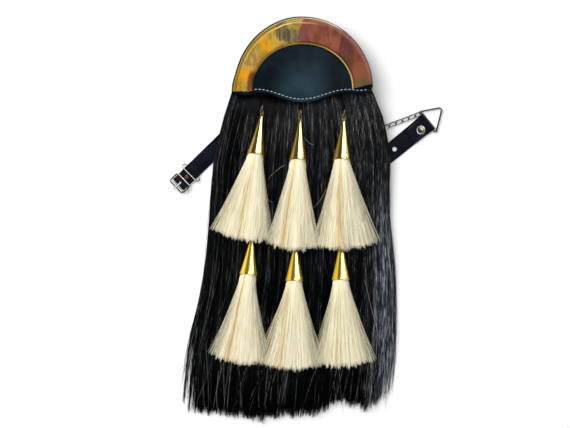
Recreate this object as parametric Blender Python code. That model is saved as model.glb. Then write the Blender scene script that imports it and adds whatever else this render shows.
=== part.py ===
"""Horsehair sporran lying on its back: leather pouch, brass cantle, long black hair, six white tassels
in brass cones, and the two ends of the waist strap.

Frame: the origin is on the pouch's flat back wall, +Z out of the front, +Y towards the top of the
cantle, +X to the right as seen from the front. All sizes are in metres.
"""

import bisect
import math

import bmesh
import bpy
from mathutils import Matrix, Vector

# Clearance between pieces that touch, and the distance under which points become one
GAP = 0.0003
WELD = 0.000002

# Pouch: a hollow leather bag with its mouth at the top
POUCH_WIDTH = 0.124
POUCH_DEPTH = 0.024
POUCH_LENGTH = 0.185
POUCH_MOUTH = 0.050
POUCH_WALL = 0.002
POUCH_BACK_EDGE = 0.003
POUCH_FRONT_EDGE = 0.009

# Front panel: the leather apron behind and below the brass
PANEL_RADIUS = 0.0835
PANEL_LEATHER = 0.0026
PANEL_DOME = 0.0045
PANEL_DOME_POWER = 1.2
PANEL_HEM_FALL = 0.55
PANEL_TOP_ROW = 0.75
PANEL_HEM = 0.0063
SCALLOP_DIP = 0.0115
SCALLOP_HALF = 0.052
SCALLOP_BUMP = 0.0030
BUMP_HALF = 0.014

# Cantle: the pressed brass arch
CANTLE_RADIUS = 0.0825
CANTLE_END = 0.002
OPENING_HALF = 0.058
OPENING_RISE = 0.0515
CANTLE_HEIGHT = 0.0040
OUTER_BEVEL = 0.0060
INNER_BEVEL = 0.0035
CANTLE_RIM = 0.0014

# Black horsehair, from the lower end of the panel's sides to the longest tip
HAIR_LENGTH = 0.3815
HAIR_REACH = 0.142
HAIR_HEAD = 0.0044
HAIR_FULL = 0.0065
HAIR_CREST_POWER = 3.2
HAIR_RIDGE = 0.0010
HAIR_NOTCH = 0.008
HAIR_LOCKS = 23

# Tassels: six brass cones with white brushes, in two rows of three
TASSEL_PITCH = 0.0485
UPPER_ROW = 0.0370
ROW_DROP = 0.1430
CONE_LENGTH = 0.0435
CONE_BASE = 0.0100
CONE_TIP = 0.0016
CONE_WALL = 0.0008
CONE_ROLL = 0.0006
CONE_HOLLOW = 0.84
CONE_SIDES = 12
EYE_RADIUS = 0.0021
EYE_WIRE = 0.0006
BRUSH_LENGTH = 0.1050
BRUSH_SPREAD = 0.0320
BRUSH_HEAD = 0.62
BRUSH_GROOVE = 0.93
BRUSH_NOTCH = 0.004
BRUSH_ARCH = 0.0100
BRUSH_ARCH_HALF = 0.010

# Small chains of the upper tassels
LINK_PITCH = 0.0055
LINK_WIDTH = 0.0044
LINK_WIRE = 0.00055
LINK_OVERLAP = 0.35
CHAIN_TAB = 0.0048
TAB_THICK = 0.0010
TAB_WIDTH = 0.0025
TAB_SEWN_WIDTH = 0.00396
TAB_END = 0.00121
HANGER_LENGTH = 0.0072

# Strap ends, their rings and the buckle
STRAP_WIDTH = 0.0200
STRAP_LEATHER = 0.0016
FOLD_LENGTH = 0.0270
FOLD_EXTRA = 0.0010
FOLD_STEP = 0.0004
STRAP_AT_BAR = 0.94
RING_WIRE = 0.0010
RING_BASE = 0.0308
RING_HEIGHT = 0.0229
RING_SKEW = 0.0024
RING_BASE_BEND = 0.0013
RING_APEX_BEND = 0.0030
LEFT_STRAP_LENGTH = 0.0950
LEFT_STRAP_ANGLE = 224.3
RIGHT_STRAP_LENGTH = 0.0960
RIGHT_STRAP_ANGLE = 219.2
RIGHT_FOLD_X = 0.1484
RIGHT_FOLD_Y = -0.0390
STRAP_HOLE = 0.00275
HOLE_FROM_FOLD = 0.0500
RIVET_RADIUS = 0.0053
RIVET_HEIGHT = 0.0022
RIVET_SHANK = 0.0015
RIVET_FROM_FOLD = 0.0120
RIVET_ASIDE = 0.0022
BUCKLE_WIDTH = 0.0235
BUCKLE_LENGTH = 0.0140
BUCKLE_WIRE = 0.0010
BUCKLE_BEND = 0.0022
BAR_RADIUS = 0.00097
ROLLER_RADIUS = 0.0015
PRONG_WIRE = 0.0007
PRONG_OVERHANG = 0.0035
PRONG_DROP = 0.7
SLOT_BACK = 0.0032
SLOT_AHEAD = 0.0044
KEEPER_WIRE = 0.0007
KEEPER_FROM_BAR = 0.0180
KEEPER_SLANT = 0.0022
KEEPER_EAR = 0.0030
STUD_RADIUS = 0.0022
STUD_CROWN = 0.0020
STUD_HEIGHT = 0.0009
STUD_FROM_BAR = 0.0105

# Chain between the right ring and the pouch's side
STRAP_LINK_PITCH = 0.0080
STRAP_LINK_WIDTH = 0.0058
STRAP_LINK_WIRE = 0.00075
LOOP_RADIUS = 0.0021
LOOP_WIRE = 0.0007
LOOP_PLATE = 0.0012
LOOP_PLATE_SIZE = 0.0100
RIGHT_LOOP_Y = -0.0570

# Wire loop on the pouch's left side that holds the left strap's fold
SIDE_BAR_LENGTH = 0.0270
SIDE_BAR_OUT = 0.0140
SIDE_BAR_Y = -0.0447
SIDE_BAR_BEND = 0.0016
SIDE_BAR_FEET = 0.0270
SIDE_BAR_RISE = 0.0030
SIDE_BAR_PLATE = 0.0310

# Sections of the pouch from its mouth to its closed end, as shares of length, width and depth
POUCH_SECTIONS = (
    # down, width, depth
    (0.00, 0.930, 1.00),
    (0.20, 0.980, 1.00),
    (0.45, 1.000, 1.00),
    (0.68, 0.980, 1.00),
    (0.82, 0.900, 0.98),
    (0.92, 0.740, 0.86),
    (0.98, 0.530, 0.62),
    (1.00, 0.380, 0.38),
)

# Sections of the black hair. down is a share of the hair's length; left and right are shares of its
# reach; crest and edge are the top's heights in the middle and at the sides as shares of the fullest
# height; under and under_edge are the underside's, as shares of the pouch's front; ridge is a share
# of the lock ridge's height.
HAIR_SECTIONS = (
    # down, left, right, crest, edge, under, under_edge, ridge
    (-0.007, 0.574, 0.577, 0.864, 0.864, 1.00, 1.00, 0.0),
    (0.043, 0.629, 0.639, 0.877, 0.780, 1.00, 0.82, 0.6),
    (0.116, 0.673, 0.690, 0.990, 0.617, 1.00, 0.50, 1.0),
    (0.211, 0.735, 0.732, 1.000, 0.438, 1.00, 0.33, 1.0),
    (0.313, 0.757, 0.725, 0.974, 0.373, 1.00, 0.27, 1.0),
    (0.379, 0.775, 0.736, 0.893, 0.325, 0.74, 0.12, 1.0),
    (0.470, 0.789, 0.768, 0.763, 0.292, 0.20, 0.00, 1.0),
    (0.604, 0.835, 0.784, 0.584, 0.276, 0.00, 0.00, 1.0),
    (0.780, 0.949, 0.773, 0.455, 0.227, 0.00, 0.00, 1.0),
)

# Rows of the hair's head, sewn flat between the pouch and the panel: height above the panel's ends as
# a share of the panel's radius, and half-width as a share of that radius
HEAD_SECTIONS = (
    # up, half
    (0.480, 0.670),
    (0.072, 0.945),
)

# Lower outline of the black hair: share of the way across, and share of the hair's length
HAIR_ENDS = (
    # across, length
    (0.000, 0.937),
    (0.030, 0.968),
    (0.150, 0.982),
    (0.370, 1.000),
    (0.550, 0.995),
    (0.670, 0.983),
    (0.730, 0.957),
    (0.780, 0.953),
    (0.860, 0.971),
    (0.930, 0.964),
    (0.955, 0.937),
    (1.000, 0.932),
)
HAIR_END_LEFT = 0.985
HAIR_END_RIGHT = 0.705
HAIR_END_CREST = 0.195
HAIR_END_EDGE = 0.110

# Tassels: across is the cone tip's place as a share of the pitch, drop its shift as a share of the
# pitch, lean the cone's sideways run as a share of its length, length and spread the brush's as shares
# of the named ones, and sway the brush's sideways run as a share of its length.
TASSELS = (
    # name, row, across, drop, lean, length, spread, sway
    ("upper_left", 0, -0.979, -0.072, -0.145, 0.970, 0.980, -0.180),
    ("upper_middle", 0, -0.045, 0.052, -0.057, 1.010, 0.860, -0.068),
    ("upper_right", 0, 1.008, 0.045, -0.060, 1.005, 1.040, 0.042),
    ("lower_left", 1, -1.206, -0.093, -0.101, 1.000, 0.870, -0.121),
    ("lower_middle", 1, -0.157, 0.052, -0.032, 0.990, 0.985, -0.050),
    ("lower_right", 1, 0.946, 0.029, -0.016, 0.965, 0.920, 0.040),
)

# Sections of a brush past the cone: along is a share of its length, wide a share of its spread, thick a
# share of the cone's base radius, sag the share of the way down from the cone's axis to the hair, and
# arch the share of the named arch by which an upper brush rises over the lower cone's tip
BRUSH_SECTIONS = (
    # along, wide, thick, sag, arch
    (0.06, 0.31, 0.94, 0.06, 0.0),
    (0.20, 0.43, 0.86, 0.42, 0.0),
    (0.42, 0.60, 0.68, 0.84, 0.0),
    (0.66, 0.77, 0.52, 1.00, 0.2),
    (0.86, 0.91, 0.38, 1.00, 0.8),
    (1.00, 1.00, 0.22, 1.00, 1.0),
)

# How the left strap rises over the keeper's lower run: before is the distance ahead of the keeper as a
# share of the keeper's distance from the bar, lift a share of the whole rise
STRAP_LIFTS = (
    # before, lift, layers
    (0.50, 0.0, 1),
    (0.30, 0.7, 1),
    (0.26, 0.8, 2),
    (0.15, 1.0, 2),
)

# Outline of the rivet's head, as shares of its height and radius
RIVET_HEAD = (
    # height, radius
    (0.00, 1.00),
    (0.45, 0.92),
    (0.45, 0.62),
    (0.85, 0.40),
)

# Colours, as linear red, green and blue
LEATHER_BLACK = (0.012, 0.016, 0.022)
BRASS = (0.72, 0.50, 0.14)
STEEL = (0.46, 0.45, 0.42)
COPPER = (0.62, 0.36, 0.24)
BLACK_HAIR = (0.012, 0.012, 0.014)
WHITE_HAIR = (0.84, 0.77, 0.60)

# Places that follow from the sizes above
HEM_Y = -PANEL_HEM
POUCH_TOP = POUCH_DEPTH + GAP
PANEL_LOW = POUCH_TOP + HAIR_HEAD + GAP
HAIR_TOP = POUCH_TOP + HAIR_FULL
HAIR_SEAT = HAIR_RIDGE / 2 + GAP
CANTLE_LOW = PANEL_LOW + PANEL_LEATHER + GAP
EYE_SHIFT = EYE_RADIUS - EYE_WIRE
EYE_HOLD = EYE_SHIFT + EYE_RADIUS - EYE_WIRE - GAP - 2 * LINK_WIRE + LINK_OVERLAP * LINK_WIRE
FOLD_RADIUS = RING_WIRE + GAP + STRAP_LEATHER
KEEPER_LIFT = 2 * KEEPER_WIRE + GAP


def finish(name, mesh, colour, roughness, metallic=0.0, smooth=True):
    """Link a mesh as one named object with its own material."""
    material = bpy.data.materials.new(name)
    material.use_nodes = True
    shader = material.node_tree.nodes["Principled BSDF"]
    shader.inputs["Base Color"].default_value = (*colour, 1.0)
    shader.inputs["Roughness"].default_value = roughness
    shader.inputs["Metallic"].default_value = metallic
    mesh.materials.clear()
    mesh.materials.append(material)
    if smooth:
        mesh.shade_smooth()
        mesh.set_sharp_from_angle(angle=math.radians(35))
    mesh.name = name
    thing = bpy.data.objects.new(name, mesh)
    bpy.context.scene.collection.objects.link(thing)
    return thing


def leather(name, mesh, smooth=True):
    return finish(name, mesh, LEATHER_BLACK, 0.42, 0.0, smooth)


def brass(name, mesh):
    return finish(name, mesh, BRASS, 0.24, 1.0)


def steel(name, mesh):
    return finish(name, mesh, STEEL, 0.32, 1.0)


def mesh_from(bm):
    """Turn a bmesh into a mesh whose faces point out."""
    bmesh.ops.recalc_face_normals(bm, faces=bm.faces)
    mesh = bpy.data.meshes.new("shape")
    bm.to_mesh(mesh)
    bm.free()
    return mesh


def loft(rings, wrap=False):
    """Join rings of equally many points with faces; the ends are capped unless the rings close up."""
    bm = bmesh.new()
    loops = [[bm.verts.new(point) for point in ring] for ring in rings]
    count = len(loops[0])
    pairs = list(zip(loops, loops[1:]))
    if wrap:
        pairs.append((loops[-1], loops[0]))
    for lower, upper in pairs:
        for i in range(count):
            j = (i + 1) % count
            bm.faces.new((lower[i], lower[j], upper[j], upper[i]))
    if not wrap:
        bm.faces.new(loops[0])
        bm.faces.new(loops[-1])
    return mesh_from(bm)


def tube(path, radius, sides, wrap=False):
    """A round wire along a path of points."""
    path = [Vector(point) for point in path]
    count = len(path)
    rings = []
    normal = None
    for i, point in enumerate(path):
        ahead = path[(i + 1) % count] if wrap or i < count - 1 else point
        behind = path[i - 1] if wrap or i > 0 else point
        along = (ahead - behind).normalized()
        if normal is None:
            normal = along.orthogonal().normalized()
        normal = (normal - along * normal.dot(along)).normalized()
        side = along.cross(normal)
        ring = []
        for k in range(sides):
            turn = 2 * math.pi * (k + 0.5) / sides
            ring.append(point + radius * (math.cos(turn) * normal + math.sin(turn) * side))
        rings.append(ring)
    return loft(rings, wrap)


def turned(profile, sides, frame):
    """Turn (height, radius) points about the frame's Z axis; the first and last lie on the axis."""
    bm = bmesh.new()
    low = bm.verts.new(frame @ Vector((0, 0, profile[0][0])))
    high = bm.verts.new(frame @ Vector((0, 0, profile[-1][0])))
    rings = []
    for height, radius in profile[1:-1]:
        ring = []
        for k in range(sides):
            turn = 2 * math.pi * k / sides
            point = Vector((radius * math.cos(turn), radius * math.sin(turn), height))
            ring.append(bm.verts.new(frame @ point))
        rings.append(ring)
    for k in range(sides):
        j = (k + 1) % sides
        bm.faces.new((low, rings[0][j], rings[0][k]))
        for a, b in zip(rings, rings[1:]):
            bm.faces.new((a[k], a[j], b[j], b[k]))
        bm.faces.new((rings[-1][k], rings[-1][j], high))
    return mesh_from(bm)


def joined(meshes):
    """One mesh that holds several separate bodies."""
    bm = bmesh.new()
    for mesh in meshes:
        bm.from_mesh(mesh)
        bpy.data.meshes.remove(mesh)
    mesh = bpy.data.meshes.new("shape")
    bm.to_mesh(mesh)
    bm.free()
    return mesh


def combined(base, other, operation):
    """The Boolean union or difference of two meshes."""
    body = bpy.data.objects.new("base", base)
    tool = bpy.data.objects.new("tool", other)
    for thing in (body, tool):
        bpy.context.scene.collection.objects.link(thing)
    change = body.modifiers.new("change", "BOOLEAN")
    change.operation = operation
    change.solver = "EXACT"
    change.object = tool
    bpy.context.view_layer.update()
    evaluated = body.evaluated_get(bpy.context.evaluated_depsgraph_get())
    mesh = bpy.data.meshes.new_from_object(evaluated)
    bpy.data.objects.remove(body)
    bpy.data.objects.remove(tool)
    bpy.data.meshes.remove(base)
    bpy.data.meshes.remove(other)
    bm = bmesh.new()
    bm.from_mesh(mesh)
    bmesh.ops.remove_doubles(bm, verts=bm.verts, dist=WELD)
    bmesh.ops.dissolve_degenerate(bm, edges=bm.edges, dist=WELD)
    bm.to_mesh(mesh)
    bm.free()
    return mesh


def frame_at(place, along, up=(0, 0, 1)):
    """A frame with its Z axis along a direction and its X axis as near to up as it can be."""
    z = Vector(along).normalized()
    y = z.cross(Vector(up)).normalized()
    x = y.cross(z)
    return Matrix.Translation(Vector(place)) @ Matrix((x, y, z)).transposed().to_4x4()


def plan_direction(degrees):
    turn = math.radians(degrees)
    return Vector((math.cos(turn), math.sin(turn), 0.0))


def between(table, column, value):
    """Read a table's column by straight lines between its rows, by the first column."""
    keys = [row[0] for row in table]
    k = min(max(bisect.bisect_right(keys, value), 1), len(keys) - 1)
    share = (value - keys[k - 1]) / (keys[k] - keys[k - 1])
    share = min(max(share, 0.0), 1.0)
    return table[k - 1][column] * (1 - share) + table[k][column] * share


def pouch_ring(y, half, depth, back_edge, front_edge, low):
    """One section of the pouch: a box with small back corners and round front corners."""
    corners = (
        (half - back_edge, low + back_edge, back_edge, -90),
        (half - front_edge, low + depth - front_edge, front_edge, 0),
        (-half + front_edge, low + depth - front_edge, front_edge, 90),
        (-half + back_edge, low + back_edge, back_edge, 180),
    )
    ring = []
    for x, z, radius, start in corners:
        for k in range(4):
            turn = math.radians(start + 30 * k)
            ring.append((x + radius * math.cos(turn), y, z + radius * math.sin(turn)))
    return ring


def build_pouch():
    """Leather bag: back wall, gusset and front wall in one, hollow, with its mouth at the top."""
    outer = []
    inner = []
    for down, wide, deep in POUCH_SECTIONS:
        half = wide * POUCH_WIDTH / 2
        depth = deep * POUCH_DEPTH
        y = POUCH_MOUTH - down * POUCH_LENGTH
        edge = min(POUCH_FRONT_EDGE, depth / 2)
        outer.append(pouch_ring(y, half, depth, POUCH_BACK_EDGE, edge, 0.0))
        inner_depth = depth - 2 * POUCH_WALL
        inner_edge = min(POUCH_FRONT_EDGE - POUCH_WALL, inner_depth / 2)
        inner_back = POUCH_BACK_EDGE - POUCH_WALL / 2
        y_inner = max(y, POUCH_MOUTH - POUCH_LENGTH + POUCH_WALL)
        inner.append(pouch_ring(y_inner, half - POUCH_WALL, inner_depth, inner_back, inner_edge, POUCH_WALL))
    leather("pouch", loft(outer[::-1] + inner))


def hem_y(x):
    """Height of the panel's scalloped lower edge."""
    y = HEM_Y
    if abs(x) < SCALLOP_HALF:
        y -= SCALLOP_DIP * 0.5 * (1 + math.cos(math.pi * x / SCALLOP_HALF))
    middle = SCALLOP_HALF + BUMP_HALF
    offset = abs(abs(x) - middle)
    if offset < BUMP_HALF:
        y -= SCALLOP_BUMP * 0.5 * (1 + math.cos(math.pi * offset / BUMP_HALF))
    return y


def panel_dome(x, y):
    """Rise of the panel's face inside the brass opening."""
    reach = math.hypot(x / OPENING_HALF, max(y, 0.0) / OPENING_RISE)
    if reach >= 1:
        return 0.0
    rise = PANEL_DOME * (1 - reach * reach) ** PANEL_DOME_POWER
    if y < 0:
        rise *= 1 - PANEL_HEM_FALL * (y / hem_y(x)) ** 2
    return rise


def build_panel():
    """Leather apron: flat behind the brass, domed inside it, with a scalloped lower edge."""
    columns = 24
    rows = 4
    top = []
    bottom = []
    bm = bmesh.new()
    for i in range(columns + 1):
        x = PANEL_RADIUS * math.sin(math.pi * (i / columns - 0.5))
        high = math.sqrt(max(PANEL_RADIUS * PANEL_RADIUS - x * x, 0.0))
        low = hem_y(x)
        rim = OPENING_RISE * math.sqrt(max(1 - (x / OPENING_HALF) ** 2, 0.0))
        rim = min(rim, low + PANEL_TOP_ROW * (high - low))
        upper = []
        under = []
        for y in [low + (rim - low) * j / rows for j in range(rows + 1)] + [high]:
            z = PANEL_LOW + PANEL_LEATHER + panel_dome(x, y)
            upper.append(bm.verts.new((x, y, z)))
            under.append(bm.verts.new((x, y, PANEL_LOW)))
        top.append(upper)
        bottom.append(under)
    close_grid(bm, top, bottom)
    leather("front_panel", mesh_from(bm))


def close_grid(bm, top, bottom):
    """Faces over, under and around two matching grids of vertices."""
    columns = len(top)
    rows = len(top[0])
    for i in range(columns - 1):
        for j in range(rows - 1):
            bm.faces.new((top[i][j], top[i + 1][j], top[i + 1][j + 1], top[i][j + 1]))
            bm.faces.new((bottom[i][j], bottom[i][j + 1], bottom[i + 1][j + 1], bottom[i + 1][j]))
    for i in range(columns - 1):
        for j in (0, rows - 1):
            bm.faces.new((top[i][j], bottom[i][j], bottom[i + 1][j], top[i + 1][j]))
    for j in range(rows - 1):
        for i in (0, columns - 1):
            bm.faces.new((top[i][j], top[i][j + 1], bottom[i][j + 1], bottom[i][j]))


def build_cantle():
    """Brass arch with a wide outer and a narrow inner bevel, cut square at its two ends."""
    steps = 32
    rings = []
    for k in range(steps + 1):
        turn = math.pi * k / steps
        outward = Vector((math.cos(turn), math.sin(turn), 0))
        outer = outward * CANTLE_RADIUS
        inner = Vector((OPENING_HALF * math.cos(turn), OPENING_RISE * math.sin(turn), 0))
        if k in (0, steps):
            outer.y = -CANTLE_END
            inner.y = -CANTLE_END
        inward = (inner - outer).normalized()
        band = (inner - outer).length
        profile = (
            (0.0, 0.0),
            (0.0, CANTLE_RIM),
            (OUTER_BEVEL, CANTLE_HEIGHT),
            (band - INNER_BEVEL, CANTLE_HEIGHT),
            (band, CANTLE_RIM),
            (band, 0.0),
        )
        rings.append([outer + inward * across + Vector((0, 0, CANTLE_LOW + up)) for across, up in profile])
    brass("cantle", loft(rings))


def hair_y(down):
    return HEM_Y - down * HAIR_LENGTH


def hair_section(down):
    """The black hair's section at a share of its length: edges, heights and ridge."""
    left, right, crest, edge, under, under_edge, ridge = (
        between(HAIR_SECTIONS, column, down) for column in range(1, 8)
    )
    if down > HAIR_SECTIONS[-1][0]:
        share = (down - HAIR_SECTIONS[-1][0]) / (1 - HAIR_SECTIONS[-1][0])
        left += (HAIR_END_LEFT - left) * share
        right += (HAIR_END_RIGHT - right) * share
        crest += (HAIR_END_CREST - crest) * share
        edge += (HAIR_END_EDGE - edge) * share
    return left, right, crest, edge, under, under_edge, ridge


def hair_heights(x, section):
    """Top and underside of the black hair at one place across a section."""
    left, right, crest, edge, under, under_edge, _ = section
    reach = HAIR_REACH * (left if x < 0 else right)
    out = min(abs(x) / reach, 1.0)
    top = HAIR_TOP * (crest + (edge - crest) * out ** HAIR_CREST_POWER)
    beyond = (abs(x) - POUCH_WIDTH / 2) / (reach - POUCH_WIDTH / 2)
    fall = min(max(beyond, 0.0), 1.0)
    return top, POUCH_TOP * (under + (under_edge - under) * fall)


def hair_top(x, y):
    """Mean height of the black hair's face, for what lies on it."""
    return hair_heights(x, hair_section((HEM_Y - y) / HAIR_LENGTH))[0]


def build_hair():
    """Black horsehair: locks fused to a flat head that is sewn between the pouch and the panel."""
    columns = 2 * HAIR_LOCKS
    top = []
    bottom = []
    bm = bmesh.new()
    for i in range(columns + 1):
        share = i / columns
        crown = 0.5 if i % 2 else -0.5
        upper = []
        under = []
        for up, half in HEAD_SECTIONS:
            x = (2 * share - 1) * half * PANEL_RADIUS
            y = up * PANEL_RADIUS
            upper.append(bm.verts.new((x, y, PANEL_LOW - GAP)))
            under.append(bm.verts.new((x, y, POUCH_TOP)))
        downs = [row[0] for row in HAIR_SECTIONS]
        downs.append(between(HAIR_ENDS, 1, share) - (0 if i % 2 else HAIR_NOTCH / HAIR_LENGTH))
        for down in downs:
            section = hair_section(down)
            left, right = section[0] * HAIR_REACH, section[1] * HAIR_REACH
            x = -left + (left + right) * share
            high, low = hair_heights(x, section)
            high += crown * section[6] * HAIR_RIDGE
            upper.append(bm.verts.new((x, hair_y(down), high)))
            under.append(bm.verts.new((x, hair_y(down), low)))
        top.append(upper)
        bottom.append(under)
    close_grid(bm, top, bottom)
    finish("hair", mesh_from(bm), BLACK_HAIR, 0.38)


def link(place, along, roll, pitch, width, wire, around=10, sides=5):
    """One oval chain link about a place, its length along a direction and turned about it."""
    frame = frame_at(place, along) @ Matrix.Rotation(math.radians(roll), 4, "Z")
    end = width / 2 - wire
    straight = (pitch + 2 * wire) / 2 - end - LINK_OVERLAP * wire
    path = []
    for k in range(around):
        turn = 2 * math.pi * (k + 0.5) / around
        shift = straight if math.sin(turn) > 0 else -straight
        path.append(frame @ Vector((end * math.cos(turn), 0, end * math.sin(turn) + shift)))
    return tube(path, wire, sides, wrap=True)


def linked(start, end, count, width, wire, first_roll, extra=None, around=10):
    """Interlocked links between two points, fused into one body with whatever meets the first."""
    start, end = Vector(start), Vector(end)
    along = (end - start).normalized()
    pitch = (end - start).length / count
    odd = [extra] if extra else []
    even = []
    for k in range(count):
        place = start + along * pitch * (k + 0.5)
        roll = first_roll if k % 2 == 0 else first_roll + 90
        group = even if k % 2 == 0 else odd
        group.append(link(place, along, roll, pitch, width, wire, around))
    return combined(joined(even), joined(odd), "UNION") if odd else joined(even)


def tassel_places(row):
    """Tip, base and brush end of one tassel, from its row in the table."""
    _, line, across, drop, lean, length, spread, sway = row
    tip = Vector((across * TASSEL_PITCH, -UPPER_ROW - line * ROW_DROP - drop * TASSEL_PITCH, 0))
    base = tip + CONE_LENGTH * Vector((lean, -math.sqrt(1 - lean * lean), 0))
    run = length * BRUSH_LENGTH
    end = base + run * Vector((sway, -math.sqrt(1 - sway * sway), 0))
    tip.z = hair_top(tip.x, tip.y) + HAIR_SEAT + EYE_RADIUS + EYE_WIRE
    base.z = hair_top(base.x, base.y) + HAIR_SEAT + CONE_BASE + 2 * CONE_ROLL
    end.z = hair_top(end.x, end.y)
    return tip, base, end, spread * BRUSH_SPREAD


def build_cone(name, tip, base):
    """Brass cone with a rolled rim and an eye at its tip, hollow below."""
    frame = frame_at(tip, base - tip)
    length = (base - tip).length
    bore = CONE_BASE - CONE_WALL
    profile = (
        (0.0, 0.0),
        (0.0, CONE_TIP),
        (length - 3 * CONE_ROLL, CONE_BASE),
        (length - 2 * CONE_ROLL, CONE_BASE + CONE_ROLL),
        (length, CONE_BASE + CONE_ROLL),
        (length, bore),
        ((1 - CONE_HOLLOW) * length, CONE_TIP),
        ((1 - CONE_HOLLOW) * length, 0.0),
    )
    shell = turned(profile, CONE_SIDES, frame)
    ring = []
    eye = frame @ Matrix.Rotation(math.radians(45), 4, "Z")
    for k in range(10):
        turn = 2 * math.pi * (k + 0.5) / 10
        spot = (EYE_RADIUS * math.cos(turn), 0, EYE_RADIUS * math.sin(turn) - EYE_SHIFT)
        ring.append(eye @ Vector(spot))
    brass(name, combined(shell, tube(ring, EYE_WIRE, 5, wrap=True), "UNION"))


def build_brush(name, tip, base, end, spread, over):
    """White horsehair: a head inside the cone, fanning into locks that lie on the black hair."""
    axis = (base - tip).normalized()
    plan = Vector((end.x - base.x, end.y - base.y, 0))
    side = Vector((plan.y, -plan.x, 0)).normalized()
    bore = CONE_BASE - CONE_WALL
    depth = (base - tip).length
    frame = frame_at(base, axis)
    rings = []
    around = 18
    fit = math.cos(math.pi / CONE_SIDES)
    for share in (BRUSH_HEAD, 0.0):
        radius = (bore - (bore - CONE_TIP) * share / CONE_HOLLOW) * fit - GAP
        ring = []
        for k in range(around):
            turn = 2 * math.pi * k / around
            spot = (radius * math.sin(turn), radius * math.cos(turn), -share * depth)
            ring.append(frame @ Vector(spot))
        rings.append(ring)
    for along, wide, thick, sag, arch in BRUSH_SECTIONS:
        middle = base + plan * along
        half = max(wide * spread, bore * 0.98)
        deep = thick * CONE_BASE
        on_axis = base.z + axis.z / math.hypot(axis.x, axis.y) * plan.length * along * (1 - sag)
        last = along == BRUSH_SECTIONS[-1][0]
        ring = []
        for k in range(around):
            turn = 2 * math.pi * k / around
            lobe = 1.0 if k % 2 else BRUSH_GROOVE
            across = half * lobe * math.cos(turn)
            spot = middle + side * across
            rise = HAIR_SEAT + deep
            if over is not None:
                rise += arch * BRUSH_ARCH * math.exp(-((spot.x - over) / BRUSH_ARCH_HALF) ** 2)
            rest = hair_top(spot.x, spot.y) + rise
            z = on_axis + (rest - on_axis) * sag + deep * lobe * math.sin(turn)
            notch = BRUSH_NOTCH if last and k % 2 else 0.0
            spot += plan.normalized() * notch
            ring.append(Vector((spot.x, spot.y, z)))
        rings.append(ring)
    finish(name, loft(rings), WHITE_HAIR, 0.45)


def tab_mesh(outer, inner, width, thick):
    """A small flat tab between two places."""
    rings = []
    for place in (outer, inner):
        ring = []
        for across, up in ((-1, -1), (1, -1), (1, 1), (-1, 1)):
            ring.append(Vector(place) + Vector((across * width / 2, 0, up * thick / 2)))
        rings.append(ring)
    return loft(rings)


def build_tassel_chain(name, tip, axis):
    """Small brass chain from a flat tab sewn under the panel to an upper tassel's eye."""
    clear = HAIR_SEAT + LINK_WIDTH / 2 * math.sin(math.radians(45)) + LINK_WIRE
    edge = hem_y(tip.x) - 0.5 * LINK_PITCH
    end = tip - axis * EYE_HOLD
    start = Vector((tip.x, edge, hair_top(tip.x, edge) + clear))
    count = max(2, round((start - end).length / LINK_PITCH))
    first_roll = -45 if count % 2 else 45
    outer = start + Vector((0, -TAB_END, 0))
    inner = Vector((tip.x, edge + 0.5 * LINK_PITCH + CHAIN_TAB, PANEL_LOW - GAP - TAB_THICK / 2))
    knee = Vector((tip.x, edge + 0.5 * LINK_PITCH - GAP, PANEL_LOW - GAP - TAB_THICK / 2))
    strip = combined(
        tab_mesh(outer, knee, TAB_WIDTH, TAB_THICK),
        tab_mesh(knee + Vector((0, -GAP, 0)), inner, TAB_SEWN_WIDTH, TAB_THICK),
        "UNION",
    )
    brass(name, linked(start, end, count, LINK_WIDTH, LINK_WIRE, first_roll, strip))


def build_lower_hanger(name, tip, axis):
    """Plain hidden loop of a lower tassel: one link through its eye on a tab sewn to the hair."""
    far = tip - axis * EYE_HOLD
    start = far + Vector((0, HANGER_LENGTH, 0))
    start.z = hair_top(start.x, start.y) + HAIR_SEAT + LINK_WIDTH / 2
    inner = start + Vector((0, CHAIN_TAB, 0))
    inner.z = hair_top(inner.x, inner.y) + HAIR_SEAT + TAB_THICK / 2 + GAP
    strip = tab_mesh(start + Vector((0, -TAB_END, 0)), inner, TAB_WIDTH, TAB_THICK)
    brass(name, linked(start, far, 1, LINK_WIDTH, LINK_WIRE, -45, strip))


def strap_mesh(origin, along, stations):
    """Flat leather along a direction through stations of (distance, low, high, half-width)."""
    side = Vector((-along.y, along.x, 0))
    rings = []
    for distance, low, high, half in stations:
        ring = []
        for across, z in ((-1, low), (1, low), (1, high), (-1, high)):
            spot = Vector((origin.x, origin.y, 0)) + along * distance + side * half * across
            ring.append(Vector((spot.x, spot.y, z)))
        rings.append(ring)
    return loft(rings)


def pin(place, along, radius, length, sides=10):
    """A plain round bar centred at a place."""
    half = Vector(along).normalized() * length / 2
    return tube((Vector(place) - half, Vector(place) + half), radius, sides)


def fold_stations(height, half, sign):
    """Stations of a fold round a bar at a height, from its far side to its middle or the reverse."""
    stations = []
    for degrees in (8, 30, 60, 85):
        turn = math.radians(degrees)
        reach = FOLD_RADIUS * math.cos(turn)
        rise = FOLD_RADIUS * math.sin(turn)
        stations.append((-sign * reach, height - rise, height + rise, half))
    return stations if sign > 0 else stations[::-1]


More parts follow.
